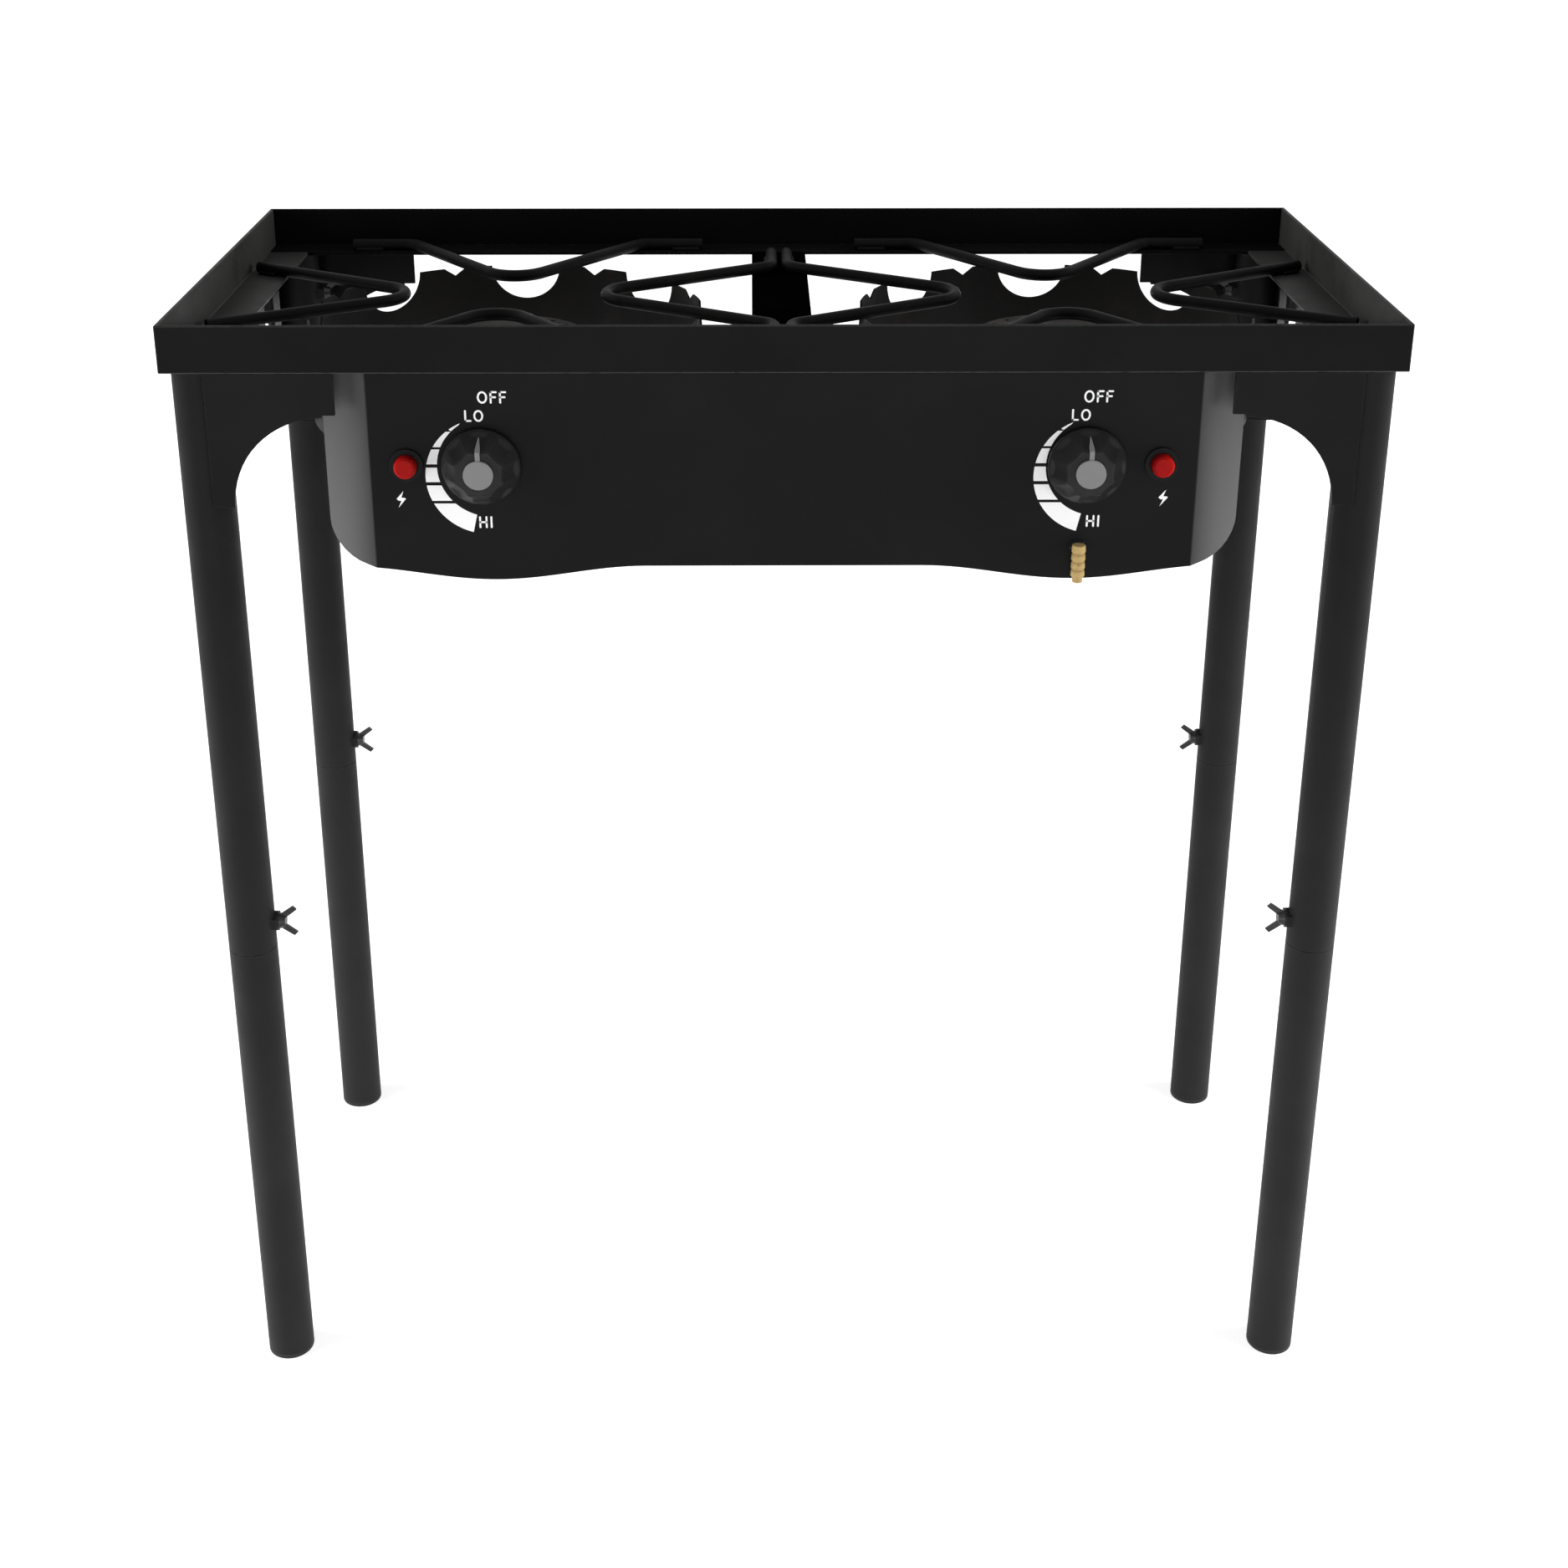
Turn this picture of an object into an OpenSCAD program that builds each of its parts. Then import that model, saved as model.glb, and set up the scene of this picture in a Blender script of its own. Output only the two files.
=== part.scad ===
// Two-burner propane stand. An angle-iron tray stands on four two-piece tube
// legs. It carries two cast burners inside scalloped wind guards, V-shaped pot
// rods across the top, and a control panel with a knob and an igniter for each.
// Origin: floor level under the middle of the whole stand.
// +X is to the right as seen from the knobs, -Y is the knob side, +Z is up.

/* [Tray] */
// Overall width of the tray
tray_w = 750; // [700:5:900]
// Overall depth of the tray
tray_d = 337; // [325:1:420]
// Height of the tray rim above the floor
stand_h = 765; // [700:5:900]
// Height of the rim
rim_h = 29.6; // [24:0.1:40]
// Steel thickness of the rails
rail_t = 2.5; // [1.5:0.1:4]
// Width of the ledge on the two side rails, from the outside
side_ledge_w = 30; // [24:0.5:38]
// Width of the ledge on the front and rear rails, from the outside
long_ledge_w = 24; // [20:0.5:30]
// Width of the middle crossbar
crossbar_w = 39; // [34:1:60]
// Depth of the crossbar's two flanges
crossbar_h = 18; // [10:1:26]

/* [Legs] */
// Outside diameter of the leg tube
leg_od = 31.8; // [28:0.1:38]
// Wall of the leg tube
leg_t = 1.5; // [1.2:0.1:2.5]
// Distance from the tray's end to the leg's axis
leg_inset_x = 19.9; // [19:0.1:30]
// Distance from the tray's front or back to the leg's axis
leg_inset_y = 16.4; // [16:0.1:30]
// Height of the wing screws on the front legs
front_screw_z = 352; // [250:1:450]
// Height of the wing screws on the rear legs
rear_screw_z = 339; // [250:1:450]
// Distance from the ledge down to the upper wing screws
upper_screw_drop = 29.4; // [24:0.1:40]
// Length of the sockets under the tray that the legs plug onto
socket_l = 60; // [50:1:80]
// Distance from the wing screw down to the end of the upper tube
screw_to_split = 18; // [12:1:40]
// Length of the lower leg's neck inside the upper tube
neck_l = 80; // [45:1:120]
// Play of the upper tube on the neck and on the socket, on the radius
neck_play = 0.1; // [0.05:0.01:0.3]
// Gap between the two tubes at the joint
split_gap = 0.3; // [0.1:0.1:1]
// Thickness of the foot cap under the tube
foot_t = 4; // [2:0.5:8]
// Length of the foot cap's plug inside the tube
foot_plug_l = 16; // [8:1:30]

/* [Wing screws] */
// Radius of the screw
screw_r = 3.95; // [3:0.05:5]
// Running clearance of the screw in its nut, on the radius
screw_play = 0.05; // [0.02:0.01:0.1]
// Thickness of the weld nut outside the tube
leg_nut_h = 2.8; // [2:0.1:5]
// Width of the weld nut across its corners
leg_nut_w = 15; // [12:0.5:20]
// Span of the two wings
wing_span = 22; // [16:1:32]
// Reach of the wings from the face of the hub
wing_reach = 7.5; // [4:0.5:12]
// Thickness of the wings
wing_t = 2; // [1.2:0.2:3]
// Length of the hub
hub_l = 4.5; // [3:0.5:8]

/* [Gussets] */
// Length of the gusset plates under the side rails, from the tray's corner
gusset_len = 104; // [90:1:140]
// Distance from the panel's flat face to the gusset plates under the long rails
gusset_panel_gap = 19; // [14:0.5:26]
// Height of the gusset plate at its free end
gusset_h = 26.4; // [18:0.2:40]
// Distance from the tray's corner to the plates' hollow beside the leg
gusset_web = 39; // [35:0.5:44]
// Thickness of the gusset plates
gusset_t = 2.5; // [1.5:0.1:4]

/* [Burners] */
// Distance from the middle of the tray to each burner
burner_x = 184; // [180:1:200]
// Radius of the burner head
head_r = 55; // [45:1:65]
// Depth of the top of the burner head below the ledge
head_drop = 23.9; // [20:0.1:28]
// Outside diameter of the mixing tube
tube_od = 26; // [24:0.5:27]
// Wall of the burner casting
cast_t = 3; // [2:0.25:4]
// Number of flame ports in each burner head
port_count = 20; // [12:1:28]
// Radius of a flame port
port_r = 1.5; // [1:0.1:2]

/* [Wind guards] */
// Gap between the wind guard and the tray's front and back faces
guard_gap = 36.5; // [33:0.5:50]
// Depth of the guard's top edge below the ledge
guard_drop = 6.7; // [4:0.1:15]
// Sheet thickness of the guard
guard_t = 1.5; // [1:0.1:2.5]
// Radius of the scallops in the guard's top edge
scallop_r = 24.5; // [18:0.5:28]
// Width of the small notches under the pot rods
notch_w = 16; // [8:0.5:20]
// Depth of those notches
notch_d = 5.5; // [3:0.5:10]

/* [Burner bars] */
// Width of the flat bars that carry the burners
bar_w = 20; // [18:1:30]
// Thickness of those bars
bar_t = 3; // [2:0.5:5]
// Place of the front bar, from the burner's middle
front_bar_y = -18; // [-24:1:-16]
// Place of the rear bar, from the burner's middle
rear_bar_y = 30; // [24:1:40]

/* [Pot rods] */
// Diameter of the rods
rod_d = 8; // [6:0.5:9]
// Distance from a burner's middle to the sharp corner of a front or rear V
long_v_r = 37; // [30:1:50]
// Distance from a burner's middle to the sharp corner of a side V
side_v_r = 47; // [40:1:60]
// Half the width of a front or rear V at the ledge
long_v_half = 83; // [60:1:100]
// Half the width of a front or rear rod over its two ends
long_half = 128; // [110:1:150]
// Half the width of a side V at the ledge or crossbar
side_v_half = 80; // [60:1:100]
// Half the length of an inner rod over its two ends
inner_half = 122; // [100:1:130]
// Distance from the tray's outside to a long rod's axis on the ledge
rod_seat = 16.5; // [12:0.5:20]
// Distance from the tray's end to the blunt ends of an outer rod
outer_end = 9; // [4:0.5:20]
// Distance from the middle of the tray to an inner rod's axis on the crossbar
inner_seat = 5.5; // [5:0.1:12]
// Bend radius at the tip of each V
tip_bend = 22; // [12:1:30]
// Bend radius at the other bends
side_bend = 12; // [8:1:20]

/* [Control panel] */
// Distance from an igniter button to the end of the panel's flat face
panel_margin = 22; // [18:0.5:26]
// Length of the slanted ends
panel_end_l = 35; // [25:1:38]
// Slant of the ends
panel_end_angle = 30; // [20:1:45]
// Sheet thickness of the panel
panel_t = 2; // [1.2:0.1:3]
// Depth of the panel face behind the rim's face
panel_inset = 1.5; // [0.6:0.1:3]
// Height of the panel, from its straight lower edge up to the ledge
panel_h = 124.2; // [115:0.2:135]
// Drop of the two bulges below that edge
bulge_drop = 8.8; // [4:0.2:14]
// Distance from a burner's axis inward to the lowest point of its bulge
bulge_in = 6; // [0:0.5:15]
// Half the width of a bulge
bulge_half = 93; // [80:1:98]
// Radius of the panel's lower corners
panel_corner_r = 27; // [15:1:30]
// Depth of the flange under the front ledge
top_flange = 20; // [12:1:22]

/* [Knobs and valves] */
// Depth of the knobs and buttons below the ledge
knob_drop = 57.9; // [54:0.1:62]
// Radius of the knob at its base
knob_r = 24; // [20:0.5:26]
// Length of the knob
knob_l = 16.8; // [12:0.2:24]
// Radius of the knob's front face
knob_face_r = 15; // [13:0.5:18]
// Gap between the panel and the knob
knob_gap = 2.7; // [2.4:0.1:6]
// Number of flutes round the knob
flute_count = 8; // [6:1:10]
// Radius of the round cap on the knob
cap_r = 9; // [6:0.5:12]
// Thickness of the cap
cap_t = 2; // [1:0.2:4]
// Radius of the valve stem
stem_r = 4; // [3:0.1:5]
// Running clearance of the stem in the valve, on the radius
stem_play = 0.05; // [0.02:0.01:0.1]
// Radius of the valve body
valve_r = 12; // [10:0.5:12.5]
// Radius of the valve's threaded neck
neck_r = 7; // [6:0.5:8]
// Width of the neck's nut across its corners
valve_nut_w = 20; // [17:0.5:22]

/* [Gas pipe] */
// Radius of the pipe that feeds the valves
pipe_r = 7; // [6:0.5:8]
// Bore radius of that pipe
pipe_bore_r = 5; // [3:0.5:5]
// Depth of the pipe's axis below the knobs' axis
pipe_drop = 25.5; // [23:0.5:29]
// Distance from the right burner's axis inward to the gas inlet
inlet_in = 3; // [0:0.5:10]
// Depth of the inlet elbow's axis below the pipe's axis
inlet_drop = 28; // [20:0.5:31]
// Distance of the hose barb in front of the panel
barb_out = 8; // [6:0.5:12]
// Radius over the barb's ribs
barb_r = 4.15; // [3.5:0.05:5]
// Radius of the barb's plain nose
nose_r = 3.2; // [2.5:0.1:3.4]
// Length of the plain nose
nose_l = 3; // [2:0.5:5]
// Number of ribs on the barb
rib_count = 4; // [2:1:5]
// Spacing of the ribs
rib_pitch = 3.4; // [2.8:0.1:4]
// Bore radius of the inlet
barb_bore_r = 2; // [1:0.1:2.2]

/* [Igniters] */
// Distance from a burner's axis outward to its igniter button
igniter_out = 46; // [40:0.5:52]
// Radius of the button
button_r = 6.9; // [5:0.1:8]
// Running clearance of the button in its body, on the radius
button_play = 0.1; // [0.05:0.01:0.2]
// How far the button stands out of its collar
button_out = 6.5; // [5:0.5:10]
// Travel of the button
button_travel = 4.5; // [2:0.5:5]
// Wall of the igniter body
igniter_t = 1.6; // [1:0.1:3]
// Radius of the collar
collar_r = 10.5; // [9:0.5:13]
// Thickness of the collar
collar_t = 2; // [1:0.2:3]
// Length of the igniter body behind the panel
igniter_l = 26; // [18:1:40]
// Diameter of the ignition lead
lead_d = 4; // [3:0.5:5]
// Distance from the burner's middle to its electrode
electrode_out = 63; // [60:1:80]
// Radius of the electrode's ceramic
electrode_r = 3.5; // [3:0.1:5]

/* [Hidden] */
$fn = 48;

black_paint = [0.12, 0.12, 0.12];
cast_iron = [0.16, 0.155, 0.15];
zinc = [0.2, 0.2, 0.2];
brass = [0.77, 0.67, 0.46];
black_plastic = [0.08, 0.08, 0.08];
grey_plastic = [0.5, 0.5, 0.5];
red_plastic = [0.75, 0.08, 0.08];
ceramic = [0.9, 0.89, 0.85];
red_rubber = [0.45, 0.06, 0.05];

// Cuts run this far past the faces that they open
over = 1;
// Bends stand this far proud of the straight lengths beside them
bead = 0.05;

// Heights of the tray
skirt_z = stand_h - rim_h;
ledge_z = skirt_z + rail_t;
rod_z = ledge_z + rod_d / 2 + bead;
knob_z = skirt_z - knob_drop;
head_top_z = ledge_z - head_drop;
guard_top_z = ledge_z - guard_drop;
guard_r = tray_d / 2 - guard_gap;

// Places across the front, from the middle of the tray
igniter_x = burner_x + igniter_out;
inlet_x = burner_x - inlet_in;
bulge_x = burner_x - bulge_in;
panel_half = igniter_x + panel_margin;
panel_low_z = skirt_z - panel_h;

// The knob caps reach furthest forward, so the tray sits behind the origin by
// half of that reach and the whole stand is centred on it
panel_y = -tray_d / 2 + panel_inset;
knob_back_y = panel_y - knob_gap;
knob_base_l = 3.5;
knob_slope_r = knob_r - 0.8;
knob_slope = atan((knob_slope_r - knob_face_r) / (knob_l - knob_base_l));
knob_front_y = knob_back_y - knob_l;
cap_front_y = knob_front_y - cap_t;
tray_y = (-tray_d / 2 - cap_front_y) / 2;

// Legs
leg_x = tray_w / 2 - leg_inset_x;
leg_y = tray_d / 2 - leg_inset_y;
leg_r = leg_od / 2;
leg_bore_r = leg_r - leg_t;
leg_neck_r = leg_bore_r - neck_play;
foot_play = 0.05;
gusset_gap = 0.3;
gusset_tip_l = 8;
long_gusset_len = tray_w / 2 - panel_half - gusset_panel_gap;
nut_bore_r = screw_r + screw_play;
screw_tip_gap = 1.5;
hub_gap = 0.3;
hub_r = 5.5;
hub_x = leg_r + leg_nut_h + hub_gap;
wing_root_w = 5;

// Burner carriers
bar_top_z = knob_z - tube_od / 2;
riser_x = tray_w / 2 - side_ledge_w;
inner_riser_x = crossbar_w / 2 - rail_t;
boss_r = 8;
bolt_r = 3;
bolt_hole_r = bolt_r + 0.3;
bolt_head_h = 4;
bolt_head_w = 11;
bolt_depth = 10;
boss_side = 23;

// Burner casting
bowl_z = bar_top_z + 3.5;
bowl_r = 34;
rim_z = head_top_z - 12;
well_r = 20;
well_d = 7;
port_ring_r = head_r - 9;
tube_r = tube_od / 2;
tube_bore_r = tube_r - cast_t;

// Air shutter on the mouth of the mixing tube
shutter_play = 0.05;
shutter_t = 1.25;
shutter_l = 20;
shutter_r = tube_r + shutter_play + shutter_t;
window_l = 12;
window_w = 11;
mouth_wall = 3;

// Valve, jet and mixing tube lie on one line behind the knob
panel_back_y = panel_y + panel_t;
valve_l = 17;
valve_back_y = panel_back_y + valve_l;
jet_r = 4;
jet_bore_r = 0.8;
jet_l = 9;
jet_tip_y = valve_back_y + jet_l;
mouth_y = jet_tip_y - 1.5;
jet_hole_r = jet_r + 1.5;
valve_nut_h = 2.2;
stem_depth = 10;
gas_way_r = 2;
inlet_boss_r = 6.5;
pipe_y = panel_back_y + 9.5;
pipe_z = knob_z - pipe_drop;
inlet_z = pipe_z - inlet_drop;
pipe_end = 14;
pipe_wall = 4;
inlet_r = 4;
elbow_swell = 0.2;
inlet_play = 0.4;
barb_y = panel_y - barb_out;
barb_core_r = barb_r - 1;
rib_run = 2.4;
barb_l = inlet_r + rib_count * rib_pitch + nose_l;
barb_tip_z = inlet_z - barb_l;
cross_bore_r = barb_bore_r + 0.5;
// Outline of the hose barb from its nose upward, as radius and height
barb_profile = [
    [0, 0], [nose_r, 0], [nose_r, nose_l],
    for (k = [0 : rib_count - 1])
        each [
            [barb_core_r, nose_l + k * rib_pitch], [barb_r, nose_l + k * rib_pitch + rib_run],
            [barb_core_r, nose_l + k * rib_pitch + rib_run]
        ],
    [barb_core_r, barb_l - inlet_r], [barb_r, barb_l - inlet_r], [barb_r, barb_l], [0, barb_l]
];

// Panel fixings
flange_end = 12;
screw_x = panel_half - flange_end - 15;
screw_xs = [-screw_x, 0, screw_x];
panel_screw_r = 2;
panel_screw_hole_r = panel_screw_r + 0.3;
panel_screw_head_r = 4;
panel_screw_head_h = 2.4;
panel_screw_tail = 5;
flange_mid_y = panel_y + top_flange / 2;

// Igniters
lip_w = 0.8;
lip_gap = 0.3;
button_flange_r = button_r + lip_w;
button_flange_l = 2;
igniter_r = button_flange_r + button_play + igniter_t;
igniter_hole_r = igniter_r + 0.3;
collar_y = panel_y - collar_t;
button_front_y = collar_y - button_out;
button_back_y = panel_y + 6;
igniter_back_y = panel_back_y + igniter_l;
button_flange_y = button_back_y - button_flange_l;
button_room = button_travel + 1;
terminal_r = 2.5;
terminal_l = 5;
lead_low_z = bar_top_z - bar_t - 9;
electrode_top_z = head_top_z - 10;
electrode_collar_h = 5;
spark_wire_r = 1;
spark_gap = 4;

// ---------------------------------------------------------------- helpers

// Puts tray coordinates, centred on the tray, into the stand's frame
module placed() {
    translate([0, tray_y, 0]) children();
}

// Turns a cylinder's axis from +Z to +Y, and to +X
module along_y() {
    rotate([-90, 0, 0]) children();
}
module along_x() {
    rotate([0, 90, 0]) children();
}

function unit(v) = v / norm(v);
function turn(p, i) = acos(unit(p[i] - p[i - 1]) * unit(p[i + 1] - p[i]));
function bend_cut(p, i, r) = (i == 0 || i == len(p) - 1) ? 0 : r[i] * tan(turn(p, i) / 2);

// One bend of a rod: an arc of radius r where the path turns at point i, swelled
// by a bead over the straight stretches
module rod_bend(p, i, r, d) {
    u = unit(p[i] - p[i - 1]);
    v = unit(p[i + 1] - p[i]);
    left = sign(u.x * v.y - u.y * v.x);
    start = p[i] - u * bend_cut(p, i, r);
    middle = start + left * r[i] * [-u.y, u.x];
    from = atan2(start.y - middle.y, start.x - middle.x);
    translate([middle.x, middle.y, 0])
        rotate([0, 0, left > 0 ? from : from - turn(p, i)])
            rotate_extrude(angle = turn(p, i))
                translate([r[i], 0]) circle(d = d + 2 * bead);
}

// A round rod of diameter d, bent flat along the points p with radius r[i] at point i
module bent_rod(p, r, d) {
    for (i = [0 : len(p) - 2]) {
        u = unit(p[i + 1] - p[i]);
        a = p[i] + u * (bend_cut(p, i, r) - (i > 0 ? bead : 0));
        b = p[i + 1] - u * (bend_cut(p, i + 1, r) - (i < len(p) - 2 ? bead : 0));
        translate([a.x, a.y, 0])
            rotate([0, 90, atan2(u.y, u.x)]) cylinder(h = norm(b - a), d = d);
    }
    for (i = [1 : len(p) - 2]) rod_bend(p, i, r, d);
}

// A wire of diameter d with slightly larger ball corners through points in space
module wire(p, d) {
    for (i = [0 : len(p) - 2]) {
        v = p[i + 1] - p[i];
        translate(p[i])
            rotate([0, acos(v.z / norm(v)), atan2(v.y, v.x)]) cylinder(h = norm(v), d = d);
    }
    for (i = [1 : len(p) - 2]) translate(p[i]) sphere(d = d + 4 * bead);
}

// ---------------------------------------------------------------- tray

// Front or rear angle rail, s = -1 for the front and 1 for the rear
module long_rail(s) {
    difference() {
        union() {
            translate([-tray_w / 2, s > 0 ? tray_d / 2 - rail_t : -tray_d / 2, skirt_z])
                cube([tray_w, rail_t, rim_h]);
            translate([-tray_w / 2, s > 0 ? tray_d / 2 - long_ledge_w : -tray_d / 2, skirt_z])
                cube([tray_w, long_ledge_w, rail_t]);
        }
        if (s < 0)
            for (x = screw_xs)
                translate([x, flange_mid_y, skirt_z - over])
                    cylinder(h = rail_t + 2 * over, r = panel_screw_hole_r);
    }
}
module front_rail() {
    color(black_paint) placed() long_rail(-1);
}
module rear_rail() {
    color(black_paint) placed() long_rail(1);
}

// Side angle rail between the long rails, its upright wall standing on their ledges
module side_rail(s) {
    wall_l = tray_d - 2 * rail_t;
    ledge_l = tray_d - 2 * long_ledge_w;
    translate([s > 0 ? tray_w / 2 - rail_t : -tray_w / 2, -wall_l / 2, ledge_z])
        cube([rail_t, wall_l, rim_h - rail_t]);
    translate([s > 0 ? tray_w / 2 - side_ledge_w : -tray_w / 2, -ledge_l / 2, skirt_z])
        cube([side_ledge_w, ledge_l, rail_t]);
}
module left_rail() {
    color(black_paint) placed() side_rail(-1);
}
module right_rail() {
    color(black_paint) placed() side_rail(1);
}

// Channel between the front and rear ledges, open side down
module crossbar() {
    l = tray_d - 2 * long_ledge_w;
    color(black_paint) placed() difference() {
        translate([-crossbar_w / 2, -l / 2, ledge_z - crossbar_h]) cube([crossbar_w, l, crossbar_h]);
        translate([-crossbar_w / 2 + rail_t, -l / 2 - over, ledge_z - crossbar_h - over])
            cube([crossbar_w - 2 * rail_t, l + 2 * over, crossbar_h - rail_t + over]);
    }
}

// ---------------------------------------------------------------- gussets

// Outline of a gusset plate of length l: u runs from the tray's outer face, v is the height
module gusset_outline(first_u, l) {
    step = 1.5;
    tip_u = l - gusset_tip_l;
    r = tip_u - gusset_web;
    foot_z = skirt_z - gusset_h - step - r;
    difference() {
        translate([first_u, foot_z]) square([l - first_u, skirt_z - foot_z]);
        translate([tip_u, foot_z]) circle(r = r, $fn = 96);
        translate([tip_u, foot_z - over]) square([gusset_tip_l + over, r + step + over]);
    }
}

// Two plates at one corner, one under the long rail and one under the side rail,
// cut back beside the leg
module gussets(sx, sy) {
    bite = 6;
    difference() {
        mirror([0, sy < 0 ? 1 : 0, 0]) mirror([sx > 0 ? 1 : 0, 0, 0]) {
            translate([-tray_w / 2, leg_y + leg_r, 0]) rotate([90, 0, 0])
                linear_extrude(gusset_t) gusset_outline(leg_inset_x + bite, long_gusset_len);
            translate([-leg_x - leg_r, tray_d / 2, 0]) rotate([90, 0, -90])
                translate([0, 0, -gusset_t]) linear_extrude(gusset_t)
                    gusset_outline(leg_inset_y + bite, gusset_len);
        }
        translate([sx * leg_x, sy * leg_y, 0]) cylinder(h = stand_h, r = leg_r + gusset_gap);
    }
}
module front_gussets() {
    color(black_paint) placed()
        for (sx = [-1, 1]) gussets(sx, -1);
}
module rear_gussets() {
    color(black_paint) placed()
        for (sx = [-1, 1]) gussets(sx, 1);
}

// ---------------------------------------------------------------- legs

function lower_screw_z(sy) = sy < 0 ? front_screw_z : rear_screw_z;
function split_z(sy) = lower_screw_z(sy) - screw_to_split;
upper_screw_z = skirt_z - upper_screw_drop;

module at_leg(sx, sy) {
    translate([sx * leg_x, sy * leg_y, 0]) children();
}

// A frame on the leg's inner side at height z: +X leads out along the wing screw
module at_screw(sx, sy, z) {
    at_leg(sx, sy) translate([0, 0, z]) rotate([0, 0, sx > 0 ? 180 : 0]) children();
}

// Short tubes under the tray's corners that the upper legs slide onto
module leg_sockets() {
    color(black_paint) placed()
        for (sx = [-1, 1])
            for (sy = [-1, 1])
                at_leg(sx, sy) translate([0, 0, skirt_z - socket_l]) difference() {
                    cylinder(h = socket_l, r = leg_neck_r);
                    translate([0, 0, -over]) cylinder(h = socket_l + 2 * over, r = leg_neck_r - leg_t);
                }
}

// Tube from the joint up to the ledge, with a weld nut for each of its two wing screws
module upper_leg(sx, sy) {
    low_z = split_z(sy);
    screw_zs = [lower_screw_z(sy), upper_screw_z];
    difference() {
        union() {
            at_leg(sx, sy) translate([0, 0, low_z]) cylinder(h = skirt_z - low_z, r = leg_r);
            for (z = screw_zs)
                at_screw(sx, sy, z) translate([leg_r - 5, 0, 0]) along_x()
                    cylinder(h = 5 + leg_nut_h, d = leg_nut_w, $fn = 6);
        }
        at_leg(sx, sy) translate([0, 0, low_z - over])
            cylinder(h = skirt_z - low_z + 2 * over, r = leg_bore_r);
        for (z = screw_zs)
            at_screw(sx, sy, z) translate([leg_bore_r / 2, 0, 0]) along_x()
                cylinder(h = leg_r, r = nut_bore_r);
    }
}
module front_left_upper_leg() {
    color(black_paint) placed() upper_leg(-1, -1);
}
module front_right_upper_leg() {
    color(black_paint) placed() upper_leg(1, -1);
}
module rear_left_upper_leg() {
    color(black_paint) placed() upper_leg(-1, 1);
}
module rear_right_upper_leg() {
    color(black_paint) placed() upper_leg(1, 1);
}

// Tube from the foot up to the joint, with a narrower neck that plugs into the upper tube
module lower_leg(sx, sy) {
    shoulder_z = split_z(sy) - split_gap;
    at_leg(sx, sy) difference() {
        union() {
            translate([0, 0, foot_t]) cylinder(h = shoulder_z - foot_t, r = leg_r);
            translate([0, 0, foot_t]) cylinder(h = shoulder_z - foot_t + neck_l, r = leg_neck_r);
        }
        translate([0, 0, foot_t - over]) cylinder(h = shoulder_z - 8 - foot_t + over, r = leg_bore_r);
        translate([0, 0, foot_t])
            cylinder(h = shoulder_z - foot_t + neck_l + over, r = leg_neck_r - leg_t);
    }
}
module front_left_lower_leg() {
    color(black_paint) placed() lower_leg(-1, -1);
}
module front_right_lower_leg() {
    color(black_paint) placed() lower_leg(1, -1);
}
module rear_left_lower_leg() {
    color(black_paint) placed() lower_leg(-1, 1);
}
module rear_right_lower_leg() {
    color(black_paint) placed() lower_leg(1, 1);
}

// Plastic foot: a flat disc under the tube and a hollow plug inside it
module foot(sx, sy) {
    wall = 2;
    at_leg(sx, sy) difference() {
        union() {
            cylinder(h = foot_t, r = leg_r);
            cylinder(h = foot_t + foot_plug_l, r = leg_bore_r - foot_play);
        }
        translate([0, 0, foot_t]) cylinder(h = foot_plug_l + over, r = leg_bore_r - foot_play - wall);
    }
}
module front_left_foot() {
    color(black_plastic) placed() foot(-1, -1);
}
module front_right_foot() {
    color(black_plastic) placed() foot(1, -1);
}
module rear_left_foot() {
    color(black_plastic) placed() foot(-1, 1);
}
module rear_right_foot() {
    color(black_plastic) placed() foot(1, 1);
}

// Screw, hub and two flared wings, at height z
module wing_screw(sx, sy, z) {
    tip_x = leg_neck_r + screw_tip_gap;
    wing = [
        [hub_x + 1, 0], [hub_x + 1, wing_root_w],
        [hub_x + hub_l + wing_reach - 2.5, wing_span / 2],
        [hub_x + hub_l + wing_reach, wing_span / 2 - 2.5], [hub_x + hub_l, 2.5], [hub_x + hub_l, 0]
    ];
    color(zinc) placed() at_screw(sx, sy, z) {
        translate([tip_x, 0, 0]) along_x() cylinder(h = hub_x + 1 - tip_x, r = screw_r);
        translate([hub_x, 0, 0]) along_x() cylinder(h = hub_l, r1 = hub_r, r2 = hub_r - 1.5);
        for (up = [0, 1])
            mirror([0, 0, up]) translate([0, wing_t / 2, 0]) rotate([90, 0, 0])
                linear_extrude(wing_t) polygon(wing);
    }
}
module front_left_upper_screw() {
    wing_screw(-1, -1, upper_screw_z);
}
module front_right_upper_screw() {
    wing_screw(1, -1, upper_screw_z);
}
module rear_left_upper_screw() {
    wing_screw(-1, 1, upper_screw_z);
}
module rear_right_upper_screw() {
    wing_screw(1, 1, upper_screw_z);
}
module front_left_lower_screw() {
    wing_screw(-1, -1, lower_screw_z(-1));
}
module front_right_lower_screw() {
    wing_screw(1, -1, lower_screw_z(-1));
}
module rear_left_lower_screw() {
    wing_screw(-1, 1, lower_screw_z(1));
}
module rear_right_lower_screw() {
    wing_screw(1, 1, lower_screw_z(1));
}

// ---------------------------------------------------------------- pot rods

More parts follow.
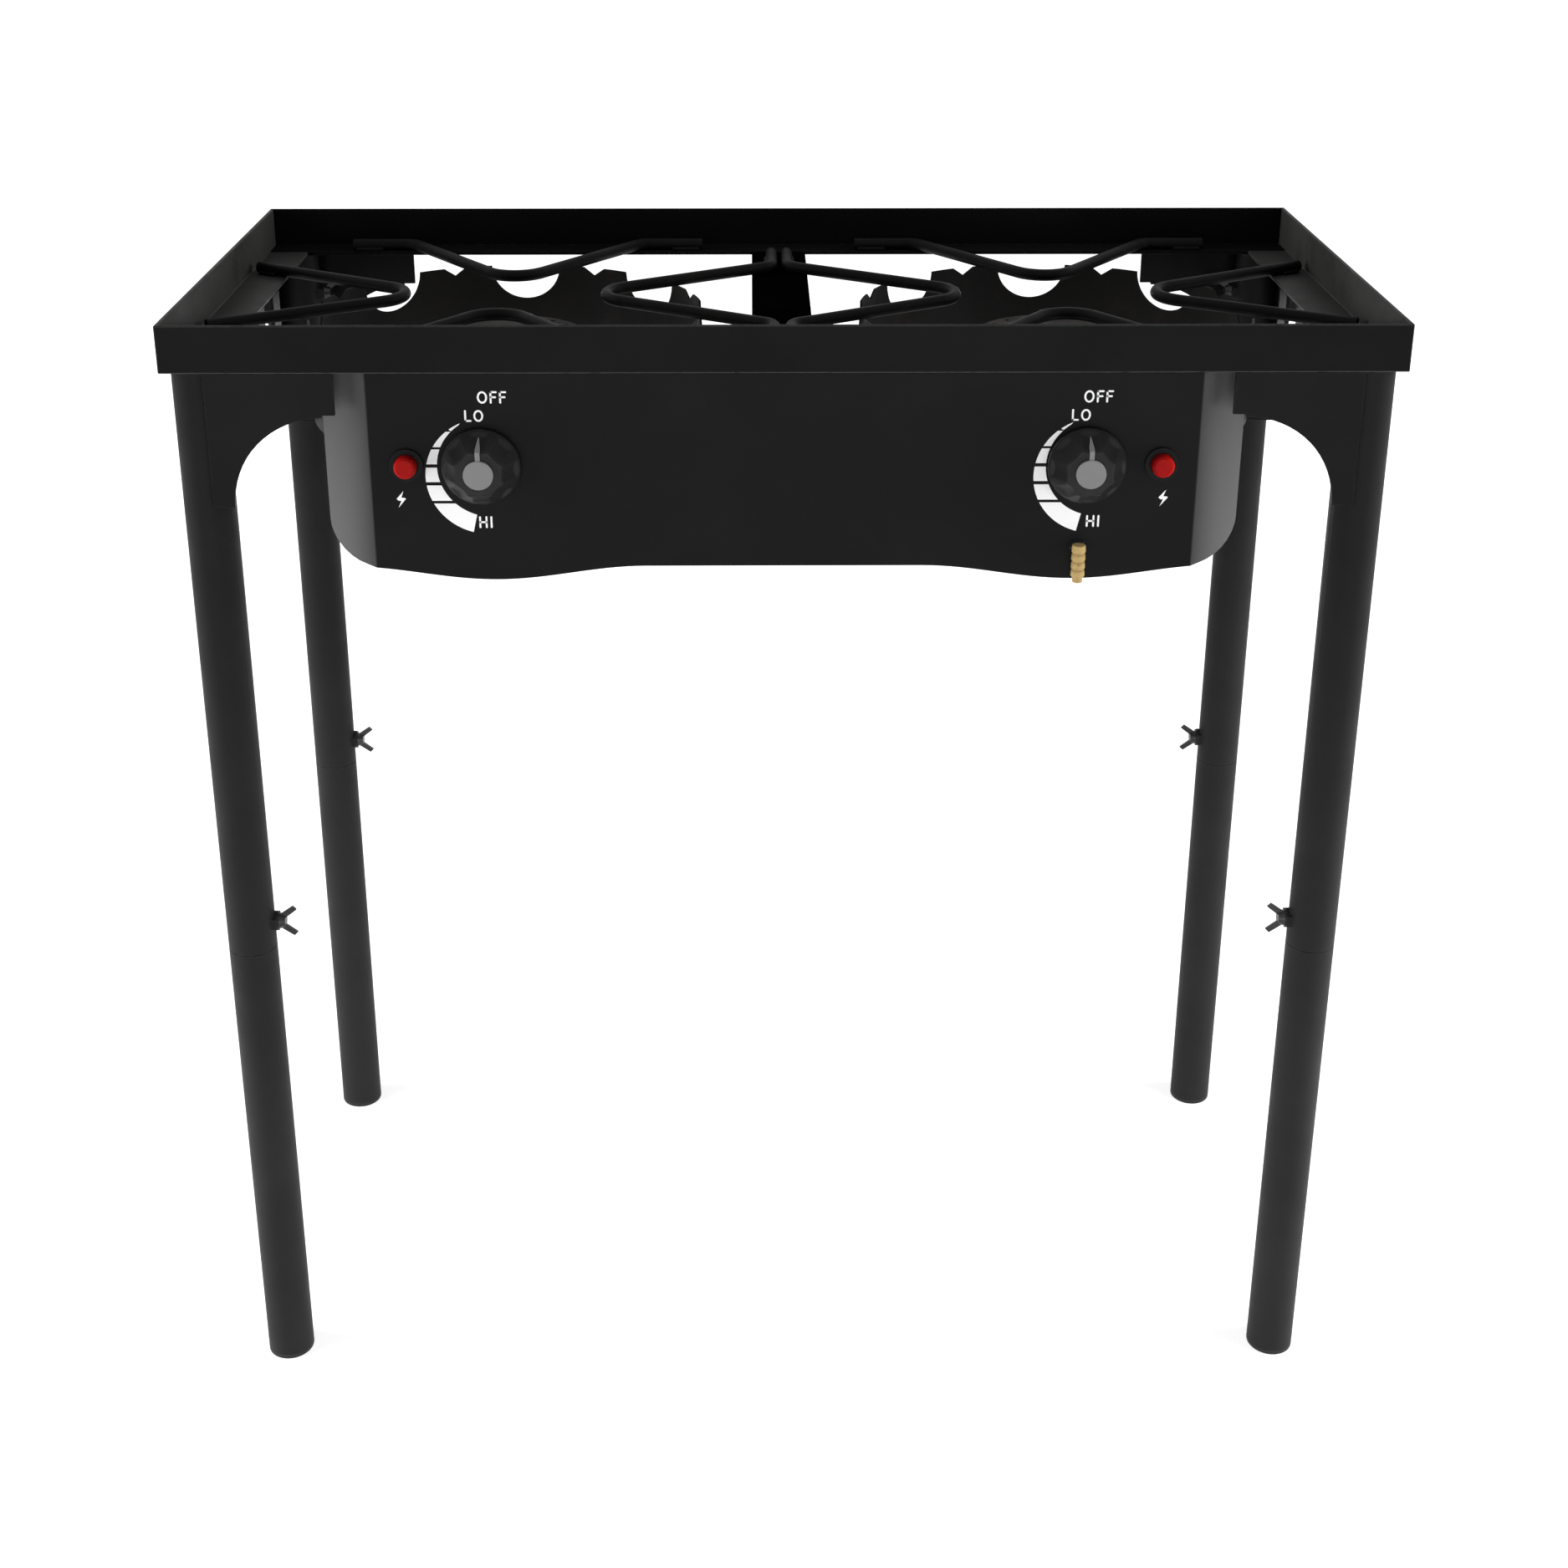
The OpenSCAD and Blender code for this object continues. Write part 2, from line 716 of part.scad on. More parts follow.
// V rod with its ends lying along the front or rear ledge
module long_rod(sx, sy) {
    seat = tray_d / 2 - rod_seat;
    p = [
        [-long_half, seat], [-long_v_half, seat], [0, long_v_r],
        [long_v_half, seat], [long_half, seat]
    ];
    translate([sx * burner_x, 0, rod_z]) mirror([0, sy < 0 ? 1 : 0, 0])
        bent_rod(p, [0, side_bend, tip_bend, side_bend, 0], rod_d);
}

// V rod with blunt ends on the side ledge
module outer_rod(sx) {
    end_x = tray_w / 2 - outer_end - burner_x;
    p = [[end_x, side_v_half], [side_v_r, 0], [end_x, -side_v_half]];
    translate([sx * burner_x, 0, rod_z]) mirror([sx < 0 ? 1 : 0, 0, 0])
        bent_rod(p, [0, tip_bend, 0], rod_d);
}

// V rod with its ends lying along the crossbar
module inner_rod(sx) {
    seat = burner_x - inner_seat;
    p = [
        [seat, inner_half], [seat, side_v_half], [side_v_r, 0],
        [seat, -side_v_half], [seat, -inner_half]
    ];
    translate([sx * burner_x, 0, rod_z]) mirror([sx > 0 ? 1 : 0, 0, 0])
        bent_rod(p, [0, side_bend, tip_bend, side_bend, 0], rod_d);
}
module left_front_pot_rod() {
    color(black_paint) placed() long_rod(-1, -1);
}
module left_rear_pot_rod() {
    color(black_paint) placed() long_rod(-1, 1);
}
module left_outer_pot_rod() {
    color(black_paint) placed() outer_rod(-1);
}
module left_inner_pot_rod() {
    color(black_paint) placed() inner_rod(-1);
}
module right_front_pot_rod() {
    color(black_paint) placed() long_rod(1, -1);
}
module right_rear_pot_rod() {
    color(black_paint) placed() long_rod(1, 1);
}
module right_outer_pot_rod() {
    color(black_paint) placed() outer_rod(1);
}
module right_inner_pot_rod() {
    color(black_paint) placed() inner_rod(1);
}

// ---------------------------------------------------------------- wind guards

// Sheet ring with eight scallops, eight small notches and a slot for the mixing tube
module wind_guard(s) {
    slot_half = shutter_r + 3;
    cut_l = 15;
    h = guard_top_z - bar_top_z;
    translate([s * burner_x, 0, bar_top_z]) difference() {
        cylinder(h = h, r = guard_r, $fn = 96);
        translate([0, 0, -over]) cylinder(h = h + 2 * over, r = guard_r - guard_t, $fn = 96);
        for (k = [0 : 7]) {
            rotate([0, 0, 45 * k]) translate([guard_r - cut_l + over, 0, h]) along_x()
                cylinder(h = cut_l, r = scallop_r);
            rotate([0, 0, 45 * k + 22.5]) translate([guard_r + over, 0, h]) rotate([90, 0, -90])
                linear_extrude(cut_l)
                    polygon([
                        [-notch_w / 2, 0], [0, -notch_d], [notch_w / 2, 0],
                        [notch_w / 2, over], [-notch_w / 2, over]
                    ]);
        }
        translate([-slot_half, -guard_r - over, -over])
            cube([2 * slot_half, guard_r / 2, knob_z - bar_top_z + over]);
        translate([0, -guard_r - over, knob_z - bar_top_z]) along_y()
            cylinder(h = guard_r / 2, r = slot_half);
    }
}
module left_wind_guard() {
    color(black_paint) placed() wind_guard(-1);
}
module right_wind_guard() {
    color(black_paint) placed() wind_guard(1);
}

// ---------------------------------------------------------------- burners

// Where the two bolts of a burner stand, from the burner's middle
bolt_places = [[-boss_side, front_bar_y], [boss_side, rear_bar_y]];

// Cast head with an inner gas chamber, flame ports, two bosses and a mixing tube
module burner(s) {
    front_y = mouth_y;
    translate([s * burner_x, 0, 0]) difference() {
        union() {
            rotate_extrude() polygon([
                [0, bowl_z], [bowl_r, bowl_z], [head_r, rim_z], [head_r, head_top_z - 3],
                [head_r - 3, head_top_z], [well_r + 2, head_top_z],
                [well_r, head_top_z - well_d], [0, head_top_z - well_d]
            ]);
            translate([0, front_y, knob_z]) along_y() cylinder(h = -front_y - bowl_r / 2, r = tube_r);
            for (b = bolt_places)
                translate([b.x, b.y, bar_top_z]) cylinder(h = rim_z - 6 - bar_top_z, r = boss_r);
        }
        // Gas chamber
        rotate_extrude() polygon([
            [0, bowl_z + cast_t], [bowl_r - cast_t - 8, bowl_z + cast_t], [head_r - cast_t - 2, rim_z],
            [head_r - cast_t - 2, head_top_z - 3 - cast_t], [well_r + 2 + cast_t, head_top_z - 3 - cast_t],
            [well_r + cast_t, head_top_z - well_d - cast_t], [0, head_top_z - well_d - cast_t]
        ]);
        // Bore of the mixing tube and the hole for the jet
        translate([0, front_y + mouth_wall, knob_z]) along_y()
            cylinder(h = -front_y - mouth_wall - 6, r = tube_bore_r);
        translate([0, front_y - over, knob_z]) along_y() cylinder(h = mouth_wall + 2 * over, r = jet_hole_r);
        // Air windows on both sides of the tube
        translate([-tube_od, front_y + mouth_wall + 2, knob_z - window_w / 2])
            cube([2 * tube_od, window_l, window_w]);
        // Flame ports
        for (k = [0 : port_count - 1])
            rotate([0, 0, 360 * k / port_count]) translate([port_ring_r, 0, head_top_z - 2 * cast_t - 3])
                cylinder(h = 3 * cast_t + 3, r = port_r);
        // Threaded holes for the bolts
        for (b = bolt_places)
            translate([b.x, b.y, bar_top_z - over]) cylinder(h = bolt_depth + over, r = bolt_r);
    }
}
module left_burner() {
    color(cast_iron) placed() burner(-1);
}
module right_burner() {
    color(cast_iron) placed() burner(1);
}

// Two flat bars bent up to the side ledge and up into the crossbar
module bar_pair(s) {
    for (i = [0, 1]) {
        y = [front_bar_y, rear_bar_y][i];
        difference() {
            mirror([s < 0 ? 1 : 0, 0, 0]) union() {
                translate([inner_riser_x - bar_t, y - bar_w / 2, bar_top_z - bar_t])
                    cube([riser_x + 2 * bar_t - inner_riser_x, bar_w, bar_t]);
                for (x = [inner_riser_x - bar_t, riser_x])
                    translate([x, y - bar_w / 2, bar_top_z - bar_t])
                        cube([bar_t, bar_w, skirt_z - bar_top_z + bar_t]);
            }
            translate([s * burner_x + bolt_places[i].x, y, bar_top_z - bar_t - over])
                cylinder(h = bar_t + 2 * over, r = bolt_hole_r);
            if (i == 0)
                translate([s * (burner_x + electrode_out), y, bar_top_z - bar_t - over])
                    cylinder(h = bar_t + 2 * over, r = lead_d / 2 + 0.3);
        }
    }
}
module burner_bars() {
    color(black_paint) placed()
        for (s = [-1, 1]) bar_pair(s);
}

module burner_bolts() {
    color(zinc) placed()
        for (s = [-1, 1])
            for (b = bolt_places)
                translate([s * burner_x + b.x, b.y, bar_top_z - bar_t]) {
                    translate([0, 0, -bolt_head_h]) cylinder(h = bolt_head_h, d = bolt_head_w, $fn = 6);
                    cylinder(h = bar_t + bolt_depth - 1, r = bolt_r - 0.05);
                }
}

// Sleeve that turns on the mixing tube to open and close its air windows
module air_shutter(s) {
    translate([s * burner_x, mouth_y, knob_z]) difference() {
        along_y() cylinder(h = shutter_l, r = shutter_r);
        translate([0, -over, 0]) along_y() cylinder(h = shutter_l + 2 * over, r = tube_r + shutter_play);
        translate([-tube_od, mouth_wall + 2, -window_w / 2]) cube([2 * tube_od, window_l, window_w]);
    }
}
module left_air_shutter() {
    color(zinc) placed() air_shutter(-1);
}
module right_air_shutter() {
    color(zinc) placed() air_shutter(1);
}

// ---------------------------------------------------------------- gas line

// Valve body with its panel neck and nut, its inlet on the pipe and its jet
module valve(s) {
    nut_y = panel_y - valve_nut_h;
    translate([s * burner_x, 0, knob_z]) difference() {
        union() {
            translate([0, panel_back_y, 0]) along_y() cylinder(h = valve_l, r = valve_r);
            translate([0, nut_y, 0]) along_y() cylinder(h = panel_back_y - nut_y + over, r = neck_r);
            translate([0, nut_y, 0]) along_y() cylinder(h = valve_nut_h, d = valve_nut_w, $fn = 6);
            translate([0, valve_back_y - over, 0]) along_y() cylinder(h = jet_l + over, r = jet_r);
            translate([0, pipe_y, -pipe_drop]) cylinder(h = pipe_drop, r = inlet_boss_r);
        }
        translate([0, nut_y - over, 0]) along_y()
            cylinder(h = panel_back_y - nut_y + stem_depth + over, r = stem_r + stem_play);
        translate([0, pipe_y, 0]) along_y() cylinder(h = 2 * valve_l, r = jet_bore_r);
        translate([0, pipe_y, -pipe_drop]) cylinder(h = pipe_drop, r = gas_way_r);
        translate([-valve_r - over, pipe_y, -pipe_drop]) along_x()
            cylinder(h = 2 * valve_r + 2 * over, r = pipe_r);
    }
}
module gas_valves() {
    color(brass) placed()
        for (s = [-1, 1]) valve(s);
}

// Closed pipe behind the panel, drilled under each valve and over the inlet
module gas_pipe() {
    half = burner_x + pipe_end;
    color(brass) placed() difference() {
        translate([-half, pipe_y, pipe_z]) along_x() cylinder(h = 2 * half, r = pipe_r);
        translate([-half + pipe_wall, pipe_y, pipe_z]) along_x()
            cylinder(h = 2 * half - 2 * pipe_wall, r = pipe_bore_r);
        for (s = [-1, 1])
            translate([s * burner_x, pipe_y, pipe_z]) cylinder(h = pipe_r + over, r = gas_way_r);
        translate([inlet_x, pipe_y, pipe_z - pipe_r - over]) cylinder(h = pipe_r + over, r = gas_way_r);
    }
}

// Inlet: down from the pipe, forward through the panel, and down again as a ribbed hose barb
module hose_barb() {
    color(brass) placed() translate([inlet_x, 0, 0]) difference() {
        union() {
            union() {
                translate([0, pipe_y, inlet_z]) cylinder(h = inlet_drop, r = inlet_r);
                translate([0, pipe_y, inlet_z]) rotate([0, 0, 30]) sphere(r = inlet_r + elbow_swell);
            }
            union() {
                translate([0, barb_y, inlet_z]) rotate([0, 0, 30]) sphere(r = inlet_r + elbow_swell);
                translate([0, barb_y, barb_tip_z]) rotate_extrude() polygon(barb_profile);
            }
            translate([0, barb_y, inlet_z]) along_y() cylinder(h = pipe_y - barb_y, r = inlet_r);
        }
        translate([-2 * pipe_r, pipe_y, pipe_z]) along_x() cylinder(h = 4 * pipe_r, r = pipe_r);
        translate([0, barb_y, barb_tip_z - over])
            cylinder(h = inlet_z - barb_tip_z + over, r = barb_bore_r);
        translate([0, barb_y - cross_bore_r, inlet_z]) along_y()
            cylinder(h = pipe_y - barb_y + 2 * cross_bore_r, r = cross_bore_r);
        translate([0, pipe_y, inlet_z]) cylinder(h = inlet_drop, r = barb_bore_r);
    }
}

// ---------------------------------------------------------------- control panel

function panel_end_x() = panel_half + panel_end_l * cos(panel_end_angle);
function bulge(x) =
    abs(x - bulge_x) < bulge_half ? -bulge_drop * pow(cos(90 * (x - bulge_x) / bulge_half), 2) : 0;

// Right half of the lower edge, from the middle out to the rounded corner
lower_edge = [
    [0, panel_low_z],
    for (x = [bulge_x - bulge_half : bulge_half / 15 : panel_end_x() - panel_corner_r])
        [x, panel_low_z + bulge(x)]
];
corner_arc = [
    for (a = [-84 : 12 : 0])
        [panel_end_x() + panel_corner_r * (cos(a) - 1), panel_low_z + panel_corner_r * (1 + sin(a))]
];

// Front view of the panel
module panel_outline() {
    right = concat(lower_edge, corner_arc, [[panel_end_x(), skirt_z], [0, skirt_z]]);
    polygon(right);
    mirror([1, 0]) polygon(right);
}

// Plan view of the bent sheet
module panel_plan() {
    slant = [cos(panel_end_angle), sin(panel_end_angle)];
    far = [panel_end_x(), panel_y + panel_end_l * slant.y];
    fold = panel_t * tan(panel_end_angle / 2);
    right = [
        [0, panel_y], [panel_half, panel_y], far, far + panel_t * [-slant.y, slant.x],
        [panel_half - fold, panel_back_y], [0, panel_back_y]
    ];
    polygon(right);
    mirror([1, 0]) polygon(right);
}
module control_panel() {
    h = skirt_z - panel_low_z + bulge_drop + over;
    color(black_paint) placed() difference() {
        union() {
            intersection() {
                translate([0, 0, skirt_z - h]) linear_extrude(h) panel_plan();
                translate([0, panel_y + panel_end_l + 2 * panel_t, 0]) rotate([90, 0, 0])
                    linear_extrude(panel_end_l + 3 * panel_t) panel_outline();
            }
            translate([-panel_half + flange_end, panel_y, skirt_z - panel_t])
                cube([2 * (panel_half - flange_end), top_flange, panel_t]);
        }
        for (s = [-1, 1]) {
            translate([s * burner_x, panel_y - over, knob_z]) along_y()
                cylinder(h = panel_t + 2 * over, r = neck_r + 0.3);
            translate([s * igniter_x, panel_y - over, knob_z]) along_y()
                cylinder(h = panel_t + 2 * over, r = igniter_hole_r);
        }
        translate([inlet_x, panel_y - over, inlet_z]) along_y()
            cylinder(h = panel_t + 2 * over, r = inlet_r + inlet_play);
        for (x = screw_xs)
            translate([x, flange_mid_y, skirt_z - panel_t - over])
                cylinder(h = panel_t + 2 * over, r = panel_screw_hole_r);
    }
}

// Pan-head screws that hang the panel under the front ledge
module panel_screws() {
    color(zinc) placed()
        for (x = screw_xs)
            translate([x, flange_mid_y, ledge_z]) {
                cylinder(h = panel_screw_head_h, r = panel_screw_head_r);
                translate([0, 0, -rail_t - panel_t - panel_screw_tail])
                    cylinder(h = rail_t + panel_t + panel_screw_tail + over, r = panel_screw_r);
            }
}

// ---------------------------------------------------------------- knobs

// Tapered grip with flutes along its slope, on a plain base, with a bore for the stem
module knob(s) {
    flute_r = 9;
    flute_depth = 1.7;
    bore_l = 12;
    slope_l = norm([knob_slope_r - knob_face_r, knob_l - knob_base_l]);
    translate([s * burner_x, knob_back_y, knob_z]) rotate([90, 0, 0]) difference() {
        rotate_extrude() polygon([
            [0, 0], [knob_r, 0], [knob_r, knob_base_l - 1], [knob_slope_r, knob_base_l],
            [knob_face_r, knob_l], [0, knob_l]
        ]);
        for (k = [0 : flute_count - 1])
            rotate([0, 0, 90 + 360 * k / flute_count]) translate([knob_slope_r, 0, knob_base_l])
                rotate([0, -knob_slope, 0]) translate([flute_r - flute_depth, 0, 1])
                    cylinder(h = slope_l + flute_r, r = flute_r);
        translate([0, 0, -over]) cylinder(h = bore_l + over, r = stem_r + 0.05);
    }
}
module left_knob() {
    color(black_plastic) placed() knob(-1);
}
module right_knob() {
    color(black_plastic) placed() knob(1);
}

// Round cap on the knob's face, with a pointer that runs down its top flute to a point
module knob_cap(s) {
    pointer_w = 2.8;
    pointer_t = 1.2;
    pointer_end = knob_slope_r - 2.5;
    point_l = 5;
    drop = (pointer_end - knob_face_r) / tan(knob_slope);
    translate([s * burner_x, knob_front_y, knob_z]) rotate([90, 0, 0]) {
        cylinder(h = cap_t, r = cap_r);
        intersection() {
            rotate([0, -90, 0]) translate([0, 0, -pointer_w / 2]) linear_extrude(pointer_w)
                polygon([
                    [0, 0], [pointer_t, 0], [pointer_t, knob_face_r - 0.6],
                    [0.4 - drop, pointer_end + 0.4], [-0.8 - drop, pointer_end - 0.2],
                    [0, knob_face_r - 1.6]
                ]);
            translate([0, 0, -knob_l]) linear_extrude(knob_l + cap_t) polygon([
                [-pointer_w / 2, 0], [pointer_w / 2, 0], [pointer_w / 2, pointer_end - point_l],
                [0.2, pointer_end], [-0.2, pointer_end], [-pointer_w / 2, pointer_end - point_l]
            ]);
        }
    }
}
module left_knob_cap() {
    color(grey_plastic) placed() knob_cap(-1);
}
module right_knob_cap() {
    color(grey_plastic) placed() knob_cap(1);
}

// Stem from inside the valve body to inside the knob
module stem(s) {
    front_y = knob_back_y - 11;
    back_y = panel_back_y + stem_depth - 1;
    translate([s * burner_x, front_y, knob_z]) along_y() cylinder(h = back_y - front_y, r = stem_r);
}
module left_stem() {
    color(brass) placed() stem(-1);
}
module right_stem() {
    color(brass) placed() stem(1);
}

// ---------------------------------------------------------------- igniters

// Collar in front of the panel, barrel behind it, bore for the button, terminal at the back
module igniter_body(s) {
    bore_back_y = button_back_y + button_room;
    translate([s * igniter_x, 0, knob_z]) difference() {
        union() {
            translate([0, collar_y, 0]) along_y() cylinder(h = collar_t, r = collar_r);
            translate([0, collar_y, 0]) along_y() cylinder(h = igniter_back_y - collar_y, r = igniter_r);
            translate([0, igniter_back_y - over, 0]) along_y() cylinder(h = terminal_l + over, r = terminal_r);
        }
        translate([0, collar_y - over, 0]) along_y()
            cylinder(h = bore_back_y - collar_y + over, r = button_r + button_play);
        translate([0, button_flange_y - lip_gap, 0]) along_y()
            cylinder(h = bore_back_y - button_flange_y + lip_gap, r = button_flange_r + button_play);
    }
}
module igniter_bodies() {
    color(black_plastic) placed()
        for (s = [-1, 1]) igniter_body(s);
}

// Push button with a rounded front edge and a flange that the collar holds in
module igniter_button(s) {
    l = button_back_y - button_front_y;
    round_r = 1.5;
    translate([s * igniter_x, button_back_y, knob_z]) rotate([90, 0, 0]) {
        cylinder(h = l - round_r, r = button_r);
        cylinder(h = button_flange_l, r = button_flange_r);
        translate([0, 0, l - round_r]) cylinder(h = round_r, r1 = button_r, r2 = button_r - round_r);
    }
}
module left_igniter_button() {
    color(red_plastic) placed() igniter_button(-1);
}
module right_igniter_button() {
    color(red_plastic) placed() igniter_button(1);
}

// Ceramic post on the front bar with a spark wire that points at the burner head
module electrode(s) {
    wire_z = electrode_top_z + 3;
    translate([s * (burner_x + electrode_out), front_bar_y, 0]) {
        translate([0, 0, bar_top_z]) cylinder(h = electrode_top_z - bar_top_z, r = electrode_r);
        translate([0, 0, bar_top_z]) cylinder(h = electrode_collar_h, r = electrode_r + 1.5);
        wire([
            [0, 0, electrode_top_z - over], [0, 0, wire_z],
            [-s * (electrode_out - sqrt(head_r * head_r - front_bar_y * front_bar_y) - spark_gap), 0, wire_z]
        ], 2 * spark_wire_r);
    }
}
module electrodes() {
    color(ceramic) placed()
        for (s = [-1, 1]) electrode(s);
}

// Lead from each igniter's terminal, under the front bar and up to its electrode
module ignition_lead(s) {
    start_y = igniter_back_y + terminal_l;
    drop_y = start_y + 5;
    electrode_x = s * (burner_x + electrode_out);
    wire([
        [s * igniter_x, start_y, knob_z], [s * igniter_x, drop_y, knob_z],
        [s * igniter_x, drop_y, lead_low_z + 5], [s * igniter_x, drop_y + 6, lead_low_z],
        [electrode_x, front_bar_y - 8, lead_low_z], [electrode_x, front_bar_y, lead_low_z + 6],
        [electrode_x, front_bar_y, bar_top_z]
    ], lead_d);
}
module ignition_leads() {
    color(red_rubber) placed()
        for (s = [-1, 1]) ignition_lead(s);
}

// ---------------------------------------------------------------- nodes

front_rail();
rear_rail();
left_rail();
right_rail();
crossbar();
front_gussets();
rear_gussets();
leg_sockets();
front_left_upper_leg();
front_right_upper_leg();
rear_left_upper_leg();
rear_right_upper_leg();
front_left_lower_leg();
front_right_lower_leg();
rear_left_lower_leg();
rear_right_lower_leg();
front_left_foot();
front_right_foot();
rear_left_foot();
rear_right_foot();
front_left_upper_screw();
front_right_upper_screw();
rear_left_upper_screw();
rear_right_upper_screw();
front_left_lower_screw();
front_right_lower_screw();
rear_left_lower_screw();
rear_right_lower_screw();
left_front_pot_rod();
left_rear_pot_rod();
left_outer_pot_rod();
left_inner_pot_rod();
right_front_pot_rod();
right_rear_pot_rod();
right_outer_pot_rod();
right_inner_pot_rod();
left_wind_guard();
right_wind_guard();
left_burner();
right_burner();
burner_bars();
burner_bolts();
left_air_shutter();
right_air_shutter();
gas_valves();
gas_pipe();
hose_barb();
control_panel();
panel_screws();
left_knob();
right_knob();
left_knob_cap();
right_knob_cap();
left_stem();
right_stem();
igniter_bodies();
left_igniter_button();
right_igniter_button();
electrodes();
ignition_leads();
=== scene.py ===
from math import atan2, cos, pi, radians, sin, sqrt

import bmesh
import bpy
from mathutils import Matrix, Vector


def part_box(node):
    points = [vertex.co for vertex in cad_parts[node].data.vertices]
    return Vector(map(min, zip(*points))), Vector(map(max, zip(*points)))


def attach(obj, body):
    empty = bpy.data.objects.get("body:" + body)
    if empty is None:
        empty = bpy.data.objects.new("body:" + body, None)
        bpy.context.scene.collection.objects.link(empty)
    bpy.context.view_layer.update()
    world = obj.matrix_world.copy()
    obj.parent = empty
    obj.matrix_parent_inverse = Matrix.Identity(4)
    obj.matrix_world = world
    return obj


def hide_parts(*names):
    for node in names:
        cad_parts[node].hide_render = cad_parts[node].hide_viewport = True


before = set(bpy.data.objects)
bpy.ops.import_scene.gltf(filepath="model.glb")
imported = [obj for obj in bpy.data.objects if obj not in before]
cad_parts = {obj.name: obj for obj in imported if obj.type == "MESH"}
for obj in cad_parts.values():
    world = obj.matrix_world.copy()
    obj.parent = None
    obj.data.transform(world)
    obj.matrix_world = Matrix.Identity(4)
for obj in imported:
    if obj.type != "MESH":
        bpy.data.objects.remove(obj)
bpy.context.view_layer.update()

scene = bpy.context.scene

MM = 0.001
TRAY_Y = 10.0                                   # the tray's middle lies this far back, in mm
SIDES = (("left", -1), ("right", 1))
CORNERS = ("front_left", "front_right", "rear_left", "rear_right")

# ---------------------------------------------------------------- camera, light, floor

# Solved from the tray's corners and the feet in the photograph
CAMERA_AT = (-0.01978, -1.40160, 1.09398)
CAMERA_TILT, CAMERA_TURN = radians(69.094), radians(-0.339)
LENS, SHIFT_X, SHIFT_Y = 49.45, 0.01278, -0.1462

cam_data = bpy.data.cameras.new("camera")
cam_data.sensor_width = 36
cam_data.lens = LENS
cam_data.shift_x = SHIFT_X
cam_data.shift_y = SHIFT_Y
cam_data.clip_end = 100
camera = bpy.data.objects.new("camera", cam_data)
camera.location = CAMERA_AT
camera.rotation_euler = (CAMERA_TILT, 0, CAMERA_TURN)
scene.collection.objects.link(camera)
scene.camera = camera
scene.view_settings.view_transform = "Standard"


def node(tree, kind, at=(0, 0), **values):
    """Adds one shader node and sets its properties."""
    n = tree.nodes.new(kind)
    n.location = at
    for key, value in values.items():
        setattr(n, key, value)
    return n


def white_rays(tree):
    """1 for the rays that see the white backdrop: from the camera, gloss or glass."""
    rays = node(tree, "ShaderNodeLightPath")
    total = rays.outputs["Is Camera Ray"]
    for kind in ("Is Glossy Ray", "Is Transmission Ray"):
        more = node(tree, "ShaderNodeMath", operation="MAXIMUM")
        tree.links.new(total, more.inputs[0])
        tree.links.new(rays.outputs[kind], more.inputs[1])
        total = more.outputs[0]
    return total


AMBIENT, BACKDROP = 0.22, 1.0                   # the sky's light on the stand, and its white

world = bpy.data.worlds.new("studio")
world.use_nodes = True
wt = world.node_tree
wt.nodes.clear()
level = node(wt, "ShaderNodeMapRange")
level.inputs["To Min"].default_value = AMBIENT
level.inputs["To Max"].default_value = BACKDROP
wt.links.new(white_rays(wt), level.inputs["Value"])
sky = node(wt, "ShaderNodeBackground")
sky.inputs["Color"].default_value = (1, 1, 1, 1)
wt.links.new(level.outputs[0], sky.inputs["Strength"])
wo = node(wt, "ShaderNodeOutputWorld")
wt.links.new(sky.outputs[0], wo.inputs["Surface"])
scene.world = world


def softbox(name, at, aim, size, power, gloss=True):
    """A flat lamp of power watts at a place, turned to its aim; gloss=False keeps its
    own shape out of the reflections."""
    data = bpy.data.lights.new(name, "AREA")
    data.shape = "RECTANGLE"
    data.size, data.size_y = size
    data.energy = power
    lamp = bpy.data.objects.new(name, data)
    lamp.location = at
    lamp.rotation_euler = (Vector(aim) - Vector(at)).to_track_quat("-Z", "Y").to_euler()
    lamp.visible_glossy = gloss
    scene.collection.objects.link(lamp)


softbox("front", (0, -3.0, 0.62), (0, 0, 0.5), (2.4, 1.0), 26)
softbox("back", (0, 2.8, 0.42), (0, 0, 0.56), (2.4, 0.6), 24)
for name, at, aim, size, power in (
        ("side", (2.4, -0.2, 1.15), (0, 0, 0.7), (1.0, 1.3), 46),
        ("low", (1.12, -0.42, 0.36), (0.27, -0.15, 0.67), (0.42, 0.5), 6.5)):
    for side, s in SIDES:
        softbox(side + "_" + name, (s * at[0], *at[1:]), (s * aim[0], *aim[1:]), size, power,
                gloss=False)

# The floor glows white for the rays that see the backdrop, and less so near the stand,
# where its shadow stays
FADE_NEAR, FADE_FAR = 0.4, 2.2                  # distances from the stand's middle, in metres
GLOW_NEAR, GLOW_FAR = 0.6, 0.95

floor_mesh = bpy.data.meshes.new("floor")
floor_mesh.from_pydata([(-9, -6, 0), (9, -6, 0), (9, 14, 0), (-9, 14, 0)], [], [(0, 1, 2, 3)])
floor = bpy.data.objects.new("floor", floor_mesh)
scene.collection.objects.link(floor)
fm = bpy.data.materials.new("pale_floor")
fm.use_nodes = True
ft = fm.node_tree
ft.nodes.clear()
matte = node(ft, "ShaderNodeBsdfDiffuse")
matte.inputs["Color"].default_value = (0.8, 0.8, 0.8, 1)
glow = node(ft, "ShaderNodeEmission")
glow.inputs["Color"].default_value = (1, 1, 1, 1)
gain = node(ft, "ShaderNodeMath", operation="MULTIPLY")
ft.links.new(white_rays(ft), gain.inputs[0])
where = node(ft, "ShaderNodeTexCoord")
away = node(ft, "ShaderNodeVectorMath", operation="LENGTH")
ft.links.new(where.outputs["Object"], away.inputs[0])
